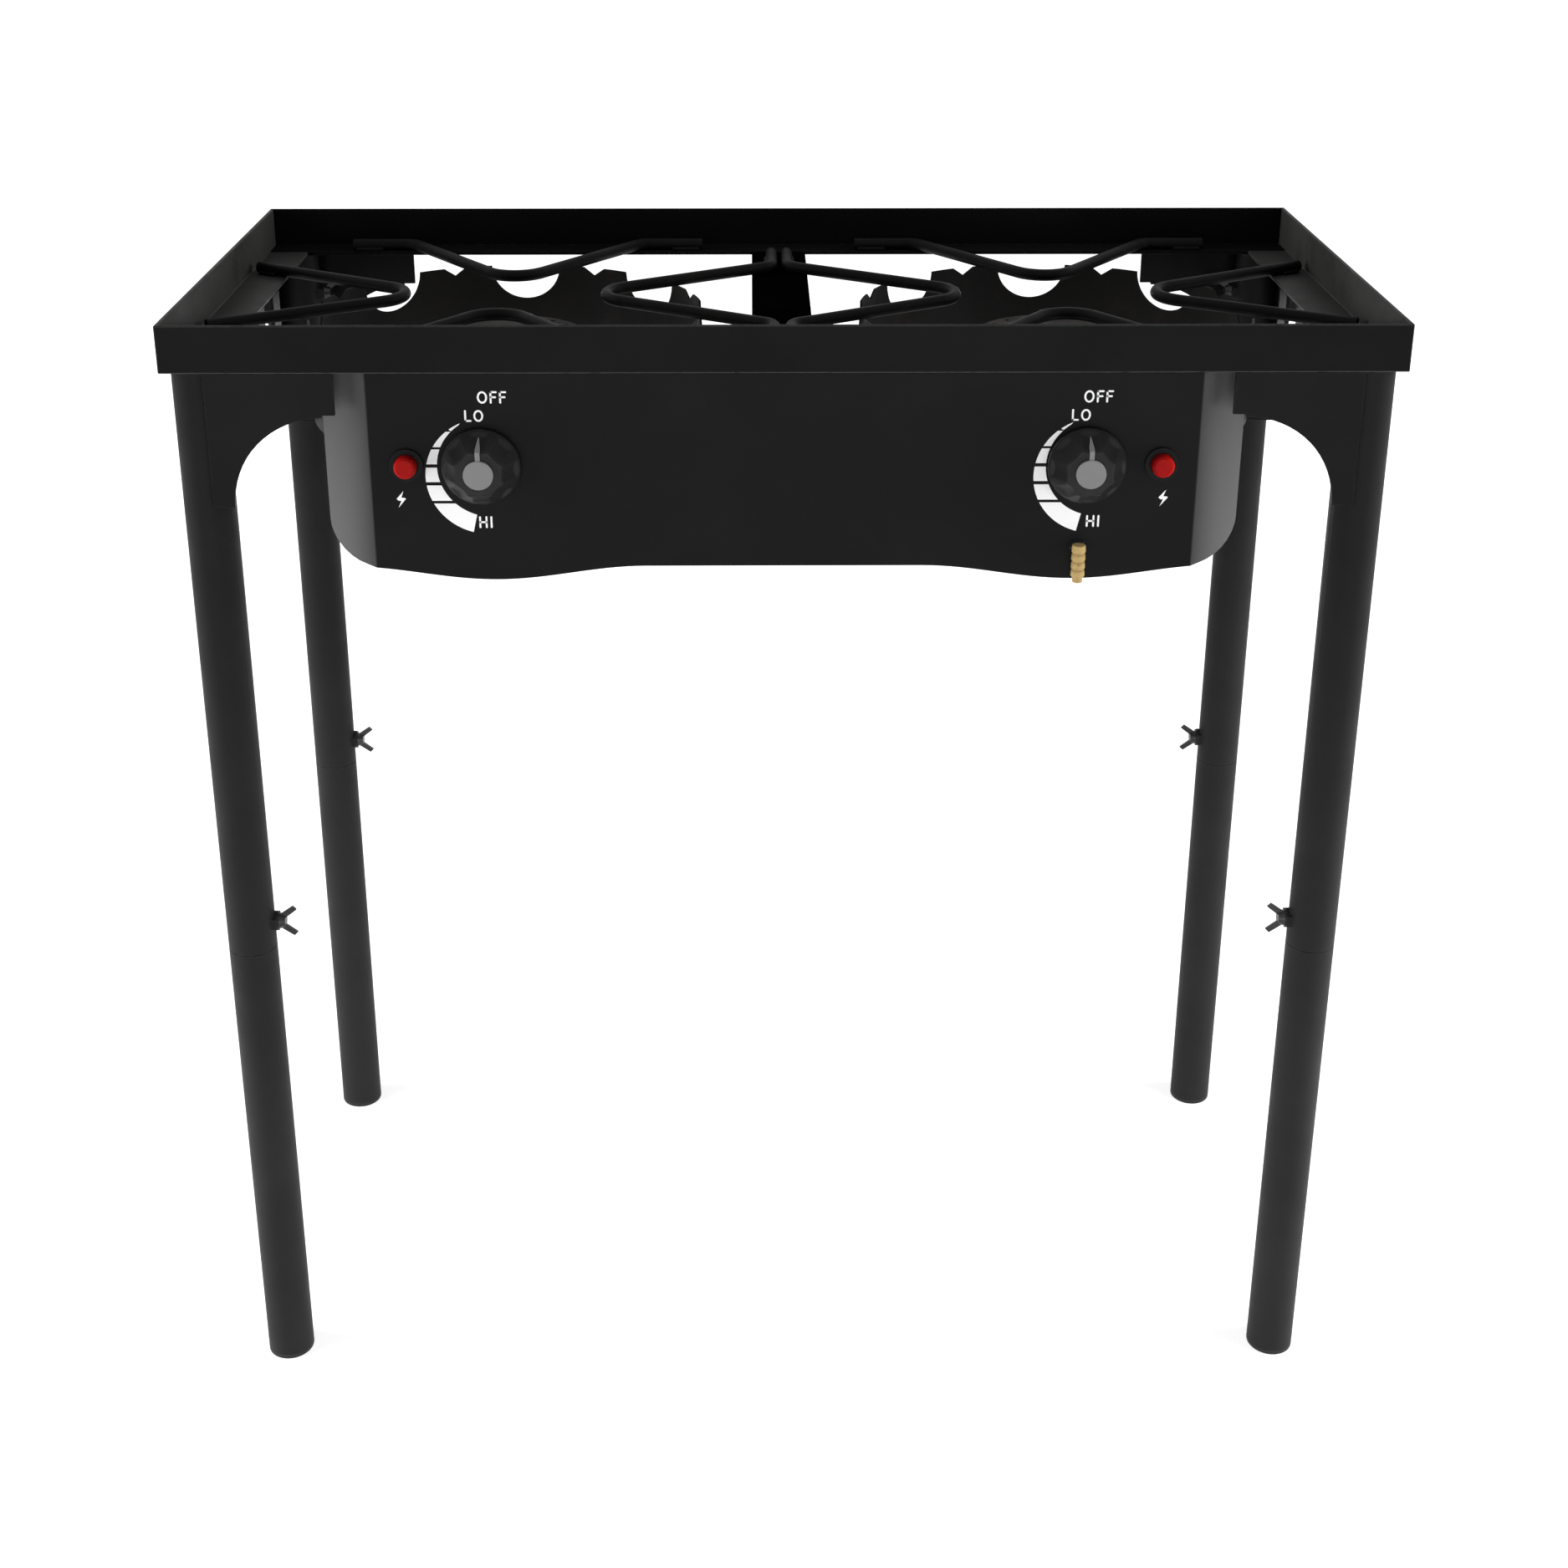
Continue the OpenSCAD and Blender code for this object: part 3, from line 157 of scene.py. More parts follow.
fade = node(ft, "ShaderNodeMapRange")
fade.inputs["From Min"].default_value = FADE_NEAR
fade.inputs["From Max"].default_value = FADE_FAR
fade.inputs["To Min"].default_value = GLOW_NEAR
fade.inputs["To Max"].default_value = GLOW_FAR
ft.links.new(away.outputs["Value"], fade.inputs["Value"])
ft.links.new(fade.outputs[0], gain.inputs[1])
ft.links.new(gain.outputs[0], glow.inputs["Strength"])
both = node(ft, "ShaderNodeAddShader")
ft.links.new(matte.outputs[0], both.inputs[0])
ft.links.new(glow.outputs[0], both.inputs[1])
fo = node(ft, "ShaderNodeOutputMaterial")
ft.links.new(both.outputs[0], fo.inputs["Surface"])
floor_mesh.materials.append(fm)

# ---------------------------------------------------------------- materials


def srgb(r, g, b):
    """A linear colour from its screen values, 0 to 255."""
    def lin(c):
        c = c / 255
        return c / 12.92 if c <= 0.04045 else ((c + 0.055) / 1.055) ** 2.4
    return (lin(r), lin(g), lin(b), 1.0)


def grey(v):
    return srgb(v, v, v)


BEVEL_R = 0.0012                                # how far edge wear and the painted edge highlight reach from an edge, in metres


def finish_of(name, dark, light, rough, grain, bump, metallic=0.0, specular=0.5,
              stain=None, stain_scale=18.0, stain_at=(0.55, 0.75), wear_and_highlight=None, wear_and_highlight_amount=0.0,
              wear_and_highlight_at=(0.42, 0.62), ends=()):
    """A procedural finish. dark and light are the two tones of its slow variation, rough
    the range of its roughness, grain the size of its fine texture in mm and bump that
    texture's height in mm. stain is a third tone in patches and wear_and_highlight the tone
    of rubbed edges, which on the front rail also stands for a painted highlight along its
    edges; stain_at and wear_and_highlight_at are the noise values between which they come in.
    ends are further tones away from the stand's origin, each with its axis and the two
    distances between which it comes in; some finishes use them to paint light and shade by
    place."""
    m = bpy.data.materials.new(name)
    m.use_nodes = True
    t = m.node_tree
    t.nodes.clear()
    out = node(t, "ShaderNodeOutputMaterial", (900, 0))
    bsdf = node(t, "ShaderNodeBsdfPrincipled", (600, 0))
    t.links.new(bsdf.outputs[0], out.inputs["Surface"])
    bsdf.inputs["Metallic"].default_value = metallic
    bsdf.inputs["Specular IOR Level"].default_value = specular
    where = node(t, "ShaderNodeTexCoord", (-900, 0))

    def noise(scale, detail=3.0, roughness=0.55):
        n = node(t, "ShaderNodeTexNoise", (-650, 0))
        n.inputs["Scale"].default_value = scale
        n.inputs["Detail"].default_value = detail
        n.inputs["Roughness"].default_value = roughness
        t.links.new(where.outputs["Object"], n.inputs["Vector"])
        return n.outputs["Fac"]

    def ramp(value, low, high, to_low=0.0, to_high=1.0):
        r = node(t, "ShaderNodeMapRange", (-400, 0))
        r.inputs["From Min"].default_value = low
        r.inputs["From Max"].default_value = high
        r.inputs["To Min"].default_value = to_low
        r.inputs["To Max"].default_value = to_high
        t.links.new(value, r.inputs["Value"])
        return r.outputs[0]

    def mix(factor, a, b):
        x = node(t, "ShaderNodeMix", (-150, 0), data_type="RGBA")
        t.links.new(factor, x.inputs["Factor"])
        for socket, v in ((x.inputs[6], a), (x.inputs[7], b)):
            if isinstance(v, tuple):
                socket.default_value = v
            else:
                t.links.new(v, socket)
        return x.outputs[2]

    slow = noise(9.0)
    fine = noise(1000.0 / grain, 2.0, 0.6)
    colour = mix(ramp(slow, 0.35, 0.65), dark, light)
    colour = mix(ramp(fine, 0.35, 0.8, 0.0, 0.35), colour, light)
    if stain is not None:
        colour = mix(ramp(noise(stain_scale, 5.0, 0.65), *stain_at), colour, stain)
    # tones by place, which paint light and shade on some finishes
    for tone, axis, near, far in ends:
        axes = node(t, "ShaderNodeSeparateXYZ", (-650, 300))
        t.links.new(where.outputs["Object"], axes.inputs[0])
        distance = node(t, "ShaderNodeMath", (-400, 300), operation="ABSOLUTE")
        t.links.new(axes.outputs[axis], distance.inputs[0])
        colour = mix(ramp(distance.outputs[0], near, far), colour, tone)
    # rubbed edges: wear, and on the front rail also a painted highlight along its edges
    if wear_and_highlight is not None:
        edge = node(t, "ShaderNodeBevel", (-650, -400), samples=4)
        edge.inputs["Radius"].default_value = BEVEL_R
        face = node(t, "ShaderNodeNewGeometry", (-650, -600))
        dot = node(t, "ShaderNodeVectorMath", (-400, -400), operation="DOT_PRODUCT")
        t.links.new(edge.outputs[0], dot.inputs[0])
        t.links.new(face.outputs["Normal"], dot.inputs[1])
        rim = ramp(dot.outputs["Value"], 0.985, 0.93)
        worn_and_lit_edge = node(t, "ShaderNodeMath", (-150, -400), operation="MULTIPLY")
        t.links.new(rim, worn_and_lit_edge.inputs[0])
        t.links.new(ramp(noise(160.0, 4.0, 0.7), *wear_and_highlight_at, 0.0, wear_and_highlight_amount), worn_and_lit_edge.inputs[1])
        colour = mix(worn_and_lit_edge.outputs[0], colour, wear_and_highlight)
    t.links.new(colour, bsdf.inputs["Base Color"])
    t.links.new(ramp(noise(35.0), 0.3, 0.7, rough[0], rough[1]), bsdf.inputs["Roughness"])
    relief = node(t, "ShaderNodeBump", (300, -300))
    relief.inputs["Strength"].default_value = 1.0
    relief.inputs["Distance"].default_value = bump * MM
    t.links.new(fine, relief.inputs["Height"])
    t.links.new(relief.outputs[0], bsdf.inputs["Normal"])
    return m


FINISHES = {
    "powder_coat": dict(dark=grey(21), light=grey(26), rough=(0.42, 0.52), grain=1.1,
                        bump=0.03, specular=0.05, wear_and_highlight=grey(60), wear_and_highlight_amount=0.4),
    # the front rail's pale edges are part wear and part a painted highlight along its top edge
    "rail_coat": dict(dark=grey(20), light=grey(25), rough=(0.42, 0.52), grain=1.1,
                      bump=0.03, specular=0.03, wear_and_highlight=grey(86), wear_and_highlight_amount=1.0,
                      wear_and_highlight_at=(0.2, 0.45)),
    # almost black inside, as painted shade in the tray, and its outer face, from 177.2 mm
    # back, like the other rails
    "rear_coat": dict(dark=grey(9), light=grey(14), rough=(0.5, 0.62), grain=1.1,
                      bump=0.03, specular=0.02, stain=srgb(18, 17, 16), stain_scale=14.0,
                      stain_at=(0.62, 0.85), wear_and_highlight=grey(60), wear_and_highlight_amount=0.4,
                      ends=[(grey(34), "Y", 0.1772, 0.1782)]),
    # paler on the bent ends, which start at 252 mm, as painted light on them
    "panel_coat": dict(dark=grey(21), light=grey(25), rough=(0.40, 0.48), grain=1.1,
                       bump=0.025, specular=0.04, wear_and_highlight=grey(66), wear_and_highlight_amount=0.4,
                       ends=[(grey(60), "X", 0.2515, 0.2530),
                             (grey(118), "X", 0.253, 0.284)]),
    # paler than the frame's other black coat, as painted light, and darker towards the tray,
    # as painted shade under it
    "leg_coat": dict(dark=grey(33), light=grey(40), rough=(0.52, 0.62), grain=1.1,
                     bump=0.03, specular=0.1, wear_and_highlight=grey(84), wear_and_highlight_amount=0.4,
                     ends=[(grey(19), "Z", 0.15, 0.62)]),
    # pale inside, as painted light on the side rails' inner faces, and dark on the outer faces
    # of the side rails
    "tray_coat": dict(dark=srgb(50, 50, 49), light=srgb(58, 58, 57), rough=(0.42, 0.55),
                      grain=1.1, bump=0.03, specular=0.04, stain=srgb(40, 39, 38),
                      stain_scale=14.0, wear_and_highlight=grey(80), wear_and_highlight_amount=0.5,
                      ends=[(grey(23), "X", 0.3737, 0.3747)]),
    # darker than the frame's other black coat, as painted shade on the rods' tops
    "rod_coat": dict(dark=grey(10), light=grey(15), rough=(0.44, 0.56), grain=0.9,
                     bump=0.04, specular=0.05, stain=srgb(24, 21, 19), stain_scale=60.0),
    # almost black all over, as painted shade on the crossbar
    "bar_coat": dict(dark=grey(3), light=grey(7), rough=(0.6, 0.7), grain=1.1, bump=0.03,
                     specular=0.0, stain=srgb(12, 11, 10), stain_scale=20.0,
                     stain_at=(0.6, 0.85), wear_and_highlight=grey(44), wear_and_highlight_amount=0.3),
    "guard_coat": dict(dark=grey(15), light=srgb(22, 21, 20), rough=(0.5, 0.68), grain=1.0,
                       bump=0.05, specular=0.08, stain=srgb(32, 27, 25), stain_scale=26.0,
                       wear_and_highlight=srgb(62, 60, 58), wear_and_highlight_amount=0.4),
    "foot_plastic": dict(dark=grey(30), light=grey(36), rough=(0.5, 0.6), grain=0.6,
                         bump=0.03, specular=0.25),
    "screw_steel": dict(dark=srgb(40, 40, 42), light=srgb(58, 58, 60), rough=(0.32, 0.45),
                        grain=0.7, bump=0.02, metallic=0.8, stain=srgb(28, 27, 26),
                        stain_scale=180.0),
    "burner_iron": dict(dark=srgb(30, 29, 28), light=srgb(42, 40, 38), rough=(0.62, 0.8),
                        grain=1.6, bump=0.22, specular=0.2, stain=srgb(58, 44, 36),
                        stain_scale=30.0, stain_at=(0.56, 0.8)),
    "shutter_steel": dict(dark=srgb(120, 118, 112), light=srgb(150, 148, 142),
                          rough=(0.3, 0.45), grain=0.8, bump=0.02, metallic=0.9,
                          stain=srgb(96, 92, 84), stain_scale=120.0),
    "brass": dict(dark=srgb(164, 138, 86), light=srgb(182, 157, 106), rough=(0.55, 0.66),
                  grain=0.5, bump=0.01, metallic=0.35, specular=0.2,
                  stain=srgb(138, 110, 60), stain_scale=220.0),
    "knob_plastic": dict(dark=grey(20), light=grey(25), rough=(0.34, 0.44), grain=0.7,
                         bump=0.015, specular=0.15),
    "cap_plastic": dict(dark=grey(118), light=grey(126), rough=(0.42, 0.52), grain=0.5,
                        bump=0.02, specular=0.2),
    "igniter_plastic": dict(dark=grey(13), light=grey(18), rough=(0.4, 0.5), grain=0.6,
                            bump=0.02, specular=0.08),
    "button_plastic": dict(dark=srgb(148, 13, 11), light=srgb(160, 16, 14),
                           rough=(0.4, 0.5), grain=0.5, bump=0.015, specular=0.08,
                           stain=srgb(136, 10, 9), stain_scale=90.0),
    "ceramic": dict(dark=srgb(214, 208, 196), light=srgb(228, 223, 213), rough=(0.18, 0.28),
                    grain=0.9, bump=0.01, stain=srgb(176, 162, 142), stain_scale=90.0,
                    stain_at=(0.6, 0.8)),
    "lead_rubber": dict(dark=srgb(34, 32, 31), light=srgb(44, 42, 40), rough=(0.55, 0.7),
                        grain=0.6, bump=0.03, specular=0.2),
    "white_print": dict(dark=grey(246), light=grey(252), rough=(0.5, 0.6), grain=0.4,
                        bump=0.006, specular=0.15),
}
MAT = {name: finish_of(name + "_finish", **values) for name, values in FINISHES.items()}

# ---------------------------------------------------------------- edges of the CAD nodes

CREASE = radians(25)                            # edges sharper than this stay edges
FLAT = radians(0.4)                             # facets flatter than this are joined
MERGE = 1e-5

# Joins the CAD mesh's triangles and shades it smooth but for its creases
weld = bpy.data.node_groups.new("weld_and_smooth", "GeometryNodeTree")
weld.interface.new_socket("Geometry", in_out="INPUT", socket_type="NodeSocketGeometry")
weld.interface.new_socket("Geometry", in_out="OUTPUT", socket_type="NodeSocketGeometry")
g_in = node(weld, "NodeGroupInput")
g_out = node(weld, "NodeGroupOutput")
merge = node(weld, "GeometryNodeMergeByDistance")
merge.inputs["Distance"].default_value = MERGE
drop = node(weld, "GeometryNodeRemoveAttribute")
drop.inputs["Name"].default_value = "custom_normal"
faces = node(weld, "GeometryNodeSetShadeSmooth")
edges = node(weld, "GeometryNodeSetShadeSmooth", domain="EDGE")
edges.inputs["Shade Smooth"].default_value = False
angle = node(weld, "GeometryNodeInputMeshEdgeAngle")
sharp = node(weld, "FunctionNodeCompare", data_type="FLOAT", operation="GREATER_THAN")
sharp.inputs[1].default_value = CREASE
weld.links.new(g_in.outputs[0], merge.inputs["Geometry"])
weld.links.new(merge.outputs[0], drop.inputs["Geometry"])
weld.links.new(drop.outputs[0], faces.inputs["Geometry"])
weld.links.new(faces.outputs[0], edges.inputs["Geometry"])
weld.links.new(angle.outputs["Unsigned Angle"], sharp.inputs[0])
weld.links.new(sharp.outputs[0], edges.inputs["Selection"])
weld.links.new(edges.outputs[0], g_out.inputs[0])


def soften(obj, width, segments=2):
    """Rounds the hard edges of a CAD node's look by width mm, or only welds it at 0."""
    m = obj.modifiers.new("weld", "NODES")
    m.node_group = weld
    if width <= 0:
        return
    flat = obj.modifiers.new("flat", "DECIMATE")
    flat.decimate_type = "DISSOLVE"
    flat.angle_limit = FLAT
    b = obj.modifiers.new("edges", "BEVEL")
    b.width = width * MM
    b.segments = segments
    b.limit_method = "ANGLE"
    b.angle_limit = CREASE
    b.use_clamp_overlap = False
    b.harden_normals = True
    b.miter_outer = "MITER_ARC"


def dress(names, finish, width=0.4, segments=2):
    """Gives CAD nodes a finish and rounds their edges by width mm."""
    for name in names:
        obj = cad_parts[name]
        obj.data.materials.clear()
        obj.data.materials.append(MAT[finish])
        for p in obj.data.polygons:
            p.material_index = 0
        soften(obj, width, segments)


def pair(*names):
    return [side + "_" + name for side, _ in SIDES for name in names]


def at_corners(*names):
    return [corner + "_" + name for corner in CORNERS for name in names]


dress(["front_rail"], "rail_coat", 0.7, 3)
dress(pair("rail"), "tray_coat", 0.7, 3)
dress(["rear_rail"], "rear_coat", 0.7, 3)
dress(["crossbar"], "bar_coat", 0.6, 3)
dress(["front_gussets", "rear_gussets", "burner_bars"], "powder_coat", 0.4)
dress(["leg_sockets"], "powder_coat", 0.3)
dress(at_corners("upper_leg", "lower_leg"), "leg_coat", 0.3)
dress(at_corners("foot"), "foot_plastic", 0.8, 3)
dress(at_corners("upper_screw", "lower_screw"), "screw_steel", 0.2)
dress(pair("front_pot_rod", "rear_pot_rod", "outer_pot_rod", "inner_pot_rod"), "rod_coat", 0)
dress(pair("wind_guard"), "guard_coat", 0.25)
dress(pair("burner"), "burner_iron", 0.5)
dress(["burner_bolts", "panel_screws"], "screw_steel", 0.2)
dress(pair("air_shutter"), "shutter_steel", 0.15)
dress(["gas_valves"], "brass", 0.15)
dress(["hose_barb"], "brass", 0)
dress(["gas_pipe"], "shutter_steel", 0)
dress(["control_panel"], "panel_coat", 0.5, 3)
dress(pair("knob"), "knob_plastic", 0.5, 3)
dress(pair("knob_cap"), "cap_plastic", 0.3, 3)
dress(pair("stem"), "brass", 0.2)
dress(["igniter_bodies"], "igniter_plastic", 0.3)
dress(pair("igniter_button"), "button_plastic", 0.6, 3)
dress(["electrodes"], "ceramic", 0.2)
dress(["ignition_leads"], "lead_rubber", 0)

# ---------------------------------------------------------------- pieces made here


def piece(name, verts, faces, finish, body, smooth=True, slot=None):
    """A mesh piece from points in stand millimetres, riding on a body."""
    mesh = bpy.data.meshes.new(name)
    mesh.from_pydata([(x * MM, y * MM, z * MM) for x, y, z in verts], [], faces)
    mesh.update()
    bm = bmesh.new()
    bm.from_mesh(mesh)
    bmesh.ops.recalc_face_normals(bm, faces=bm.faces)
    bm.to_mesh(mesh)
    bm.free()
    mesh.materials.append(MAT[finish])
    if smooth:
        mesh.polygons.foreach_set("use_smooth", [True] * len(mesh.polygons))
    obj = bpy.data.objects.new(name, mesh)
    scene.collection.objects.link(obj)
    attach(obj, body)
    return obj


def lathe(rings):
    """Faces between equal rings of points, with the first and last ring filled."""
    verts, faces, n = [], [], len(rings[0])
    for ring in rings:
        verts += ring
    for j in range(len(rings) - 1):
        for i in range(n):
            a, b = j * n + i, j * n + (i + 1) % n
            faces.append((a, b, b + n, a + n))
    faces.append(tuple(range(n)))
    faces.append(tuple(range((len(rings) - 1) * n, len(rings) * n)))
    return verts, faces


def joined(parts):
    """One list of points and faces from several."""
    verts, faces = [], []
    for v, f in parts:
        k = len(verts)
        verts += v
        faces += [tuple(i + k for i in face) for face in f]
    return verts, faces


def rounded(points, r, n=6):
    """The path through points with its corners rounded to about radius r."""
    out = [Vector(points[0])]
    for i in range(1, len(points) - 1):
        p, a, b = Vector(points[i]), Vector(points[i - 1]), Vector(points[i + 1])
        cut = min(r, (a - p).length * 0.48, (b - p).length * 0.48)
        s0, s1 = p + (a - p).normalized() * cut, p + (b - p).normalized() * cut
        for k in range(n + 1):
            u = k / n
            out.append(s0.lerp(p, u).lerp(p.lerp(s1, u), u))
    out.append(Vector(points[-1]))
    return out


def tube(points, radius, sides=14, ripple=None):
    """Rings of a tube along points; ripple(i) scales the radius at point i."""
    rings, last, held = [], None, None
    for i, p in enumerate(points):
        ahead = points[min(i + 1, len(points) - 1)] - points[max(i - 1, 0)]
        u = ahead.normalized()
        ref = Vector((0, 0, 1)) if abs(u.z) < 0.9 else Vector((1, 0, 0))
        if last is not None and abs(u.dot(last)) > 0.999:
            ref = held
        v = (ref - u * ref.dot(u)).normalized()
        w = u.cross(v)
        last, held = u, v
        q = radius * (ripple(i) if ripple else 1.0)
        turns = [2 * pi * k / sides for k in range(sides)]
        rings.append([tuple(p + v * (q * cos(t)) + w * (q * sin(t))) for t in turns])
    return rings


# ---------------------------------------------------------------- dial prints

DIAL_X, KNOB_X, KNOB_Z = 185.4, 184.0, 677.5    # middles of the print and of the knob
FACE_Y = -167.0 + TRAY_Y                        # the panel's front face
PRINT_T = 0.1                                   # how far the print stands out
STROKE = 1.15                                   # width of the letters' strokes
LETTER_GAP, HI_GAP = 2.4, 3.0
WORD_X = {"left": (9.2, -2.0, 2.1), "right": (4.0, -5.9, 4.4)}    # OFF, LO, HI from DIAL_X
WORDS = (("OFF", 720.2, 7.7, LETTER_GAP), ("LO", 708.6, 7.4, LETTER_GAP),
         ("HI", 640.4, 7.7, HI_GAP))            # text, middle height, letter height, gap
OUTER_ARC, INNER_ARC = (3.8, 669.85, 37.07), (6.0, 676.0, 32.0)   # middle from DIAL_X, radius
# The six fields of the scale: top and bottom height on the outer arc, then on the inner one
FIELDS = ((704.0, 700.0, 702.6, 699.0), (698.6, 688.85, 698.6, 688.85),
          (687.4, 677.95, 687.4, 677.95), (675.75, 666.45, 675.75, 666.45),
          (664.3, 654.4, 664.3, 654.4), (652.6, 634.0, 652.6, 645.3))
SPARK_X, SPARK_Z = {"left": -234.4, "right": 232.2}, 655.3
SPARK = ((1.6, 5.3), (-2.8, 0.35), (-1.5, -0.8), (0.1, -0.9), (-1.9, -5.4), (2.9, 0.3),
         (2.3, 1.0), (0.2, 1.15))
# Width and strokes of each letter of height 1, with its foot at 0
STROKES = {
    "F": (0.50, [(0, 0, 0, 1), (0, 1, 0.5, 1), (0, 0.52, 0.42, 0.52)]),
    "L": (0.50, [(0, 1, 0, 0), (0, 0, 0.5, 0)]),
    "H": (0.60, [(0, 0, 0, 1), (0.6, 0, 0.6, 1), (0, 0.5, 0.6, 0.5)]),
    "I": (0.0, [(0, 0, 0, 1)]),
}


def slabs(outlines, y, t):
    """Thin prisms on a face at y, standing t mm out towards the front."""
    verts, faces = [], []
    for line in outlines:
        k, n = len(verts), len(line)
        verts += [(x, y - t, z) for x, z in line] + [(x, y, z) for x, z in line]
        faces.append(tuple(range(k, k + n)))
        faces.append(tuple(range(k + n, k + 2 * n)))
        faces += [(k + i, k + (i + 1) % n, k + n + (i + 1) % n, k + n + i) for i in range(n)]
    return verts, faces


def capsule(ax, az, bx, bz, w, n=8):
    """Outline of a stroke of width w with round ends."""
    turn, r = atan2(bz - az, bx - ax), w / 2
    first = [turn - pi / 2 + pi * i / n for i in range(n + 1)]
    second = [turn + pi / 2 + pi * i / n for i in range(n + 1)]
    return ([(bx + r * cos(t), bz + r * sin(t)) for t in first]
            + [(ax + r * cos(t), az + r * sin(t)) for t in second])


def oval(cx, cz, w, h, stroke, n=28):
    """A ring as a chain of quads."""
    out = []
    for i in range(n):
        a, b = 2 * pi * i / n, 2 * pi * (i + 1) / n
        out.append([(cx + (w - s) / 2 * cos(t), cz + (h - s) / 2 * sin(t))
                    for t, s in ((a, 0), (b, 0), (b, 2 * stroke), (a, 2 * stroke))])
    return out


def word(letters, cx, cz, h, gap):
    """Outlines of a word centred at cx, cz with letters h mm tall."""
    out, x = [], 0.0
    inner = h - STROKE
    for ch in letters:
        if ch == "O":
            w = 0.8 * h
            out += oval(x + w / 2 - STROKE / 2, cz, w, h, STROKE)
            x += w - STROKE + gap + STROKE * 0.2
        else:
            w, lines = STROKES[ch]
            out += [capsule(x + a * inner, cz + (b - 0.5) * inner, x + c * inner,
                            cz + (d - 0.5) * inner, STROKE) for a, b, c, d in lines]
            x += w * inner + gap
    width = x - gap
    return [[(px - width / 2 + cx, pz) for px, pz in line] for line in out]


def arc_points(cx, cz, r, top, bottom, n=14):
    """Points down the left side of a circle from height top to height bottom."""
    a, b = [atan2((z - cz), -sqrt(max(r * r - (z - cz) ** 2, 0))) % (2 * pi)
            for z in (top, bottom)]
    return [(cx + r * cos(a + (b - a) * i / n), cz + r * sin(a + (b - a) * i / n))
            for i in range(n + 1)]


def dial_marks(cx, word_x):
    """Outlines of one dial's scale and words, its middle at cx."""
    out = []
    for outer_top, outer_low, inner_top, inner_low in FIELDS:
        out.append(arc_points(cx + OUTER_ARC[0], *OUTER_ARC[1:], outer_top, outer_low)
                   + arc_points(cx + INNER_ARC[0], *INNER_ARC[1:], inner_top, inner_low)[::-1])
    for x, (text, z, height, gap) in zip(word_x, WORDS):
        out += word(text, cx + x, z, height, gap)
    return out


for side, s in SIDES:
    marks = dial_marks(s * DIAL_X, WORD_X[side])
    marks.append([(x + SPARK_X[side], z + SPARK_Z) for x, z in SPARK])
    verts, faces = slabs(marks, FACE_Y, PRINT_T)
    piece(side + "_dial_print", verts, faces, "white_print", "stand", smooth=False,
          slot="cap_plastic")

# ---------------------------------------------------------------- knob grips

KNOB_Y = -169.7 + TRAY_Y                        # the knob's back
BASE_L, GRIP_L = 3.5, 16.8                      # where the tapered grip starts and ends
SLOPE_R, FACE_R = 23.2, 15.0                    # its radius there
FLUTES, FLUTE_R, FLUTE_IN, FLUTE_SOFT = 8, 9.0, 7.3, 0.12    # round cuts in the grip
# Distance from the back, radius and share of the flutes, before and after the grip
BASE_ROWS = [(0.0, 5.0, 0), (0.0, 23.2, 0), (0.25, 23.8, 0), (0.7, 24.0, 0), (2.1, 24.0, 0),
             (2.6, 23.85, 0), (3.0, 23.5, 0), (BASE_L, SLOPE_R, 0)]
FACE_ROWS = [(16.45, 15.05, 1), (16.72, 14.75, 1), (16.8, 14.3, 0.97), (16.8, 13.6, 0.7),
             (16.75, 12.6, 0.25), (16.7, 11.5, 0), (16.65, 8.0, 0), (16.65, 2.0, 0)]


def knob_rings(cx, n=256, steps=19):
    """Rings of the tapered knob with its rounded flutes, from its back to its face."""
    rows = list(BASE_ROWS)
    for i in range(1, steps):
        u = i / steps
        rise = min(max((u - 0.03) / 0.12, 0), 1)
        rows.append((BASE_L + (GRIP_L - BASE_L) * u, SLOPE_R + (FACE_R - SLOPE_R) * u,
                     rise * rise * (3 - 2 * rise)))
    rows += FACE_ROWS
    half = pi / FLUTES
    rings = []
    for t, r, cut in rows:
        ring = []
        for i in range(n):
            a = 2 * pi * i / n
            off = (a - pi / 2 + half) % (2 * half) - half
            x = r * sin(off)
            v = sqrt(max(FLUTE_R * FLUTE_R - x * x, 0)) - FLUTE_IN
            depth = cut * 0.5 * (v + sqrt(v * v + FLUTE_SOFT)) - cut * 0.03
            q = r - max(depth, 0)
            ring.append((cx + q * cos(a), KNOB_Y - t, KNOB_Z + q * sin(a)))
        rings.append(ring)
    return rings


for side, s in SIDES:
    grip = piece(side + "_knob_grip", *lathe(knob_rings(s * KNOB_X)), "knob_plastic",
                 side + "_knob")
    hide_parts(side + "_knob")

# ---------------------------------------------------------------- ignition leads

LEAD_R, LEAD_BEND = 2.0, 7
# From the igniter, under the front bar and up to the electrode
LEAD_ROUTE = ((230, -134, 677.5), (230, -129, 677.5), (230, -129, 657.5), (230, -123, 652.5),
              (247, -26, 652.5), (247, -18, 658.5), (247, -18, 664.5))

leads = []
for _, s in SIDES:
    path = rounded([(s * x, y + TRAY_Y, z) for x, y, z in LEAD_ROUTE], LEAD_BEND)
    leads.append(lathe(tube(path, LEAD_R)))
lead = piece("ignition_lead_wires", *joined(leads), "lead_rubber", "stand")
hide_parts("ignition_leads")

# ---------------------------------------------------------------- weld beads

BURNER_X, ROD_R = 184.0, 4.0
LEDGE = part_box("left_outer_pot_rod")[0][2] / MM           # the ledges' top, under the rods
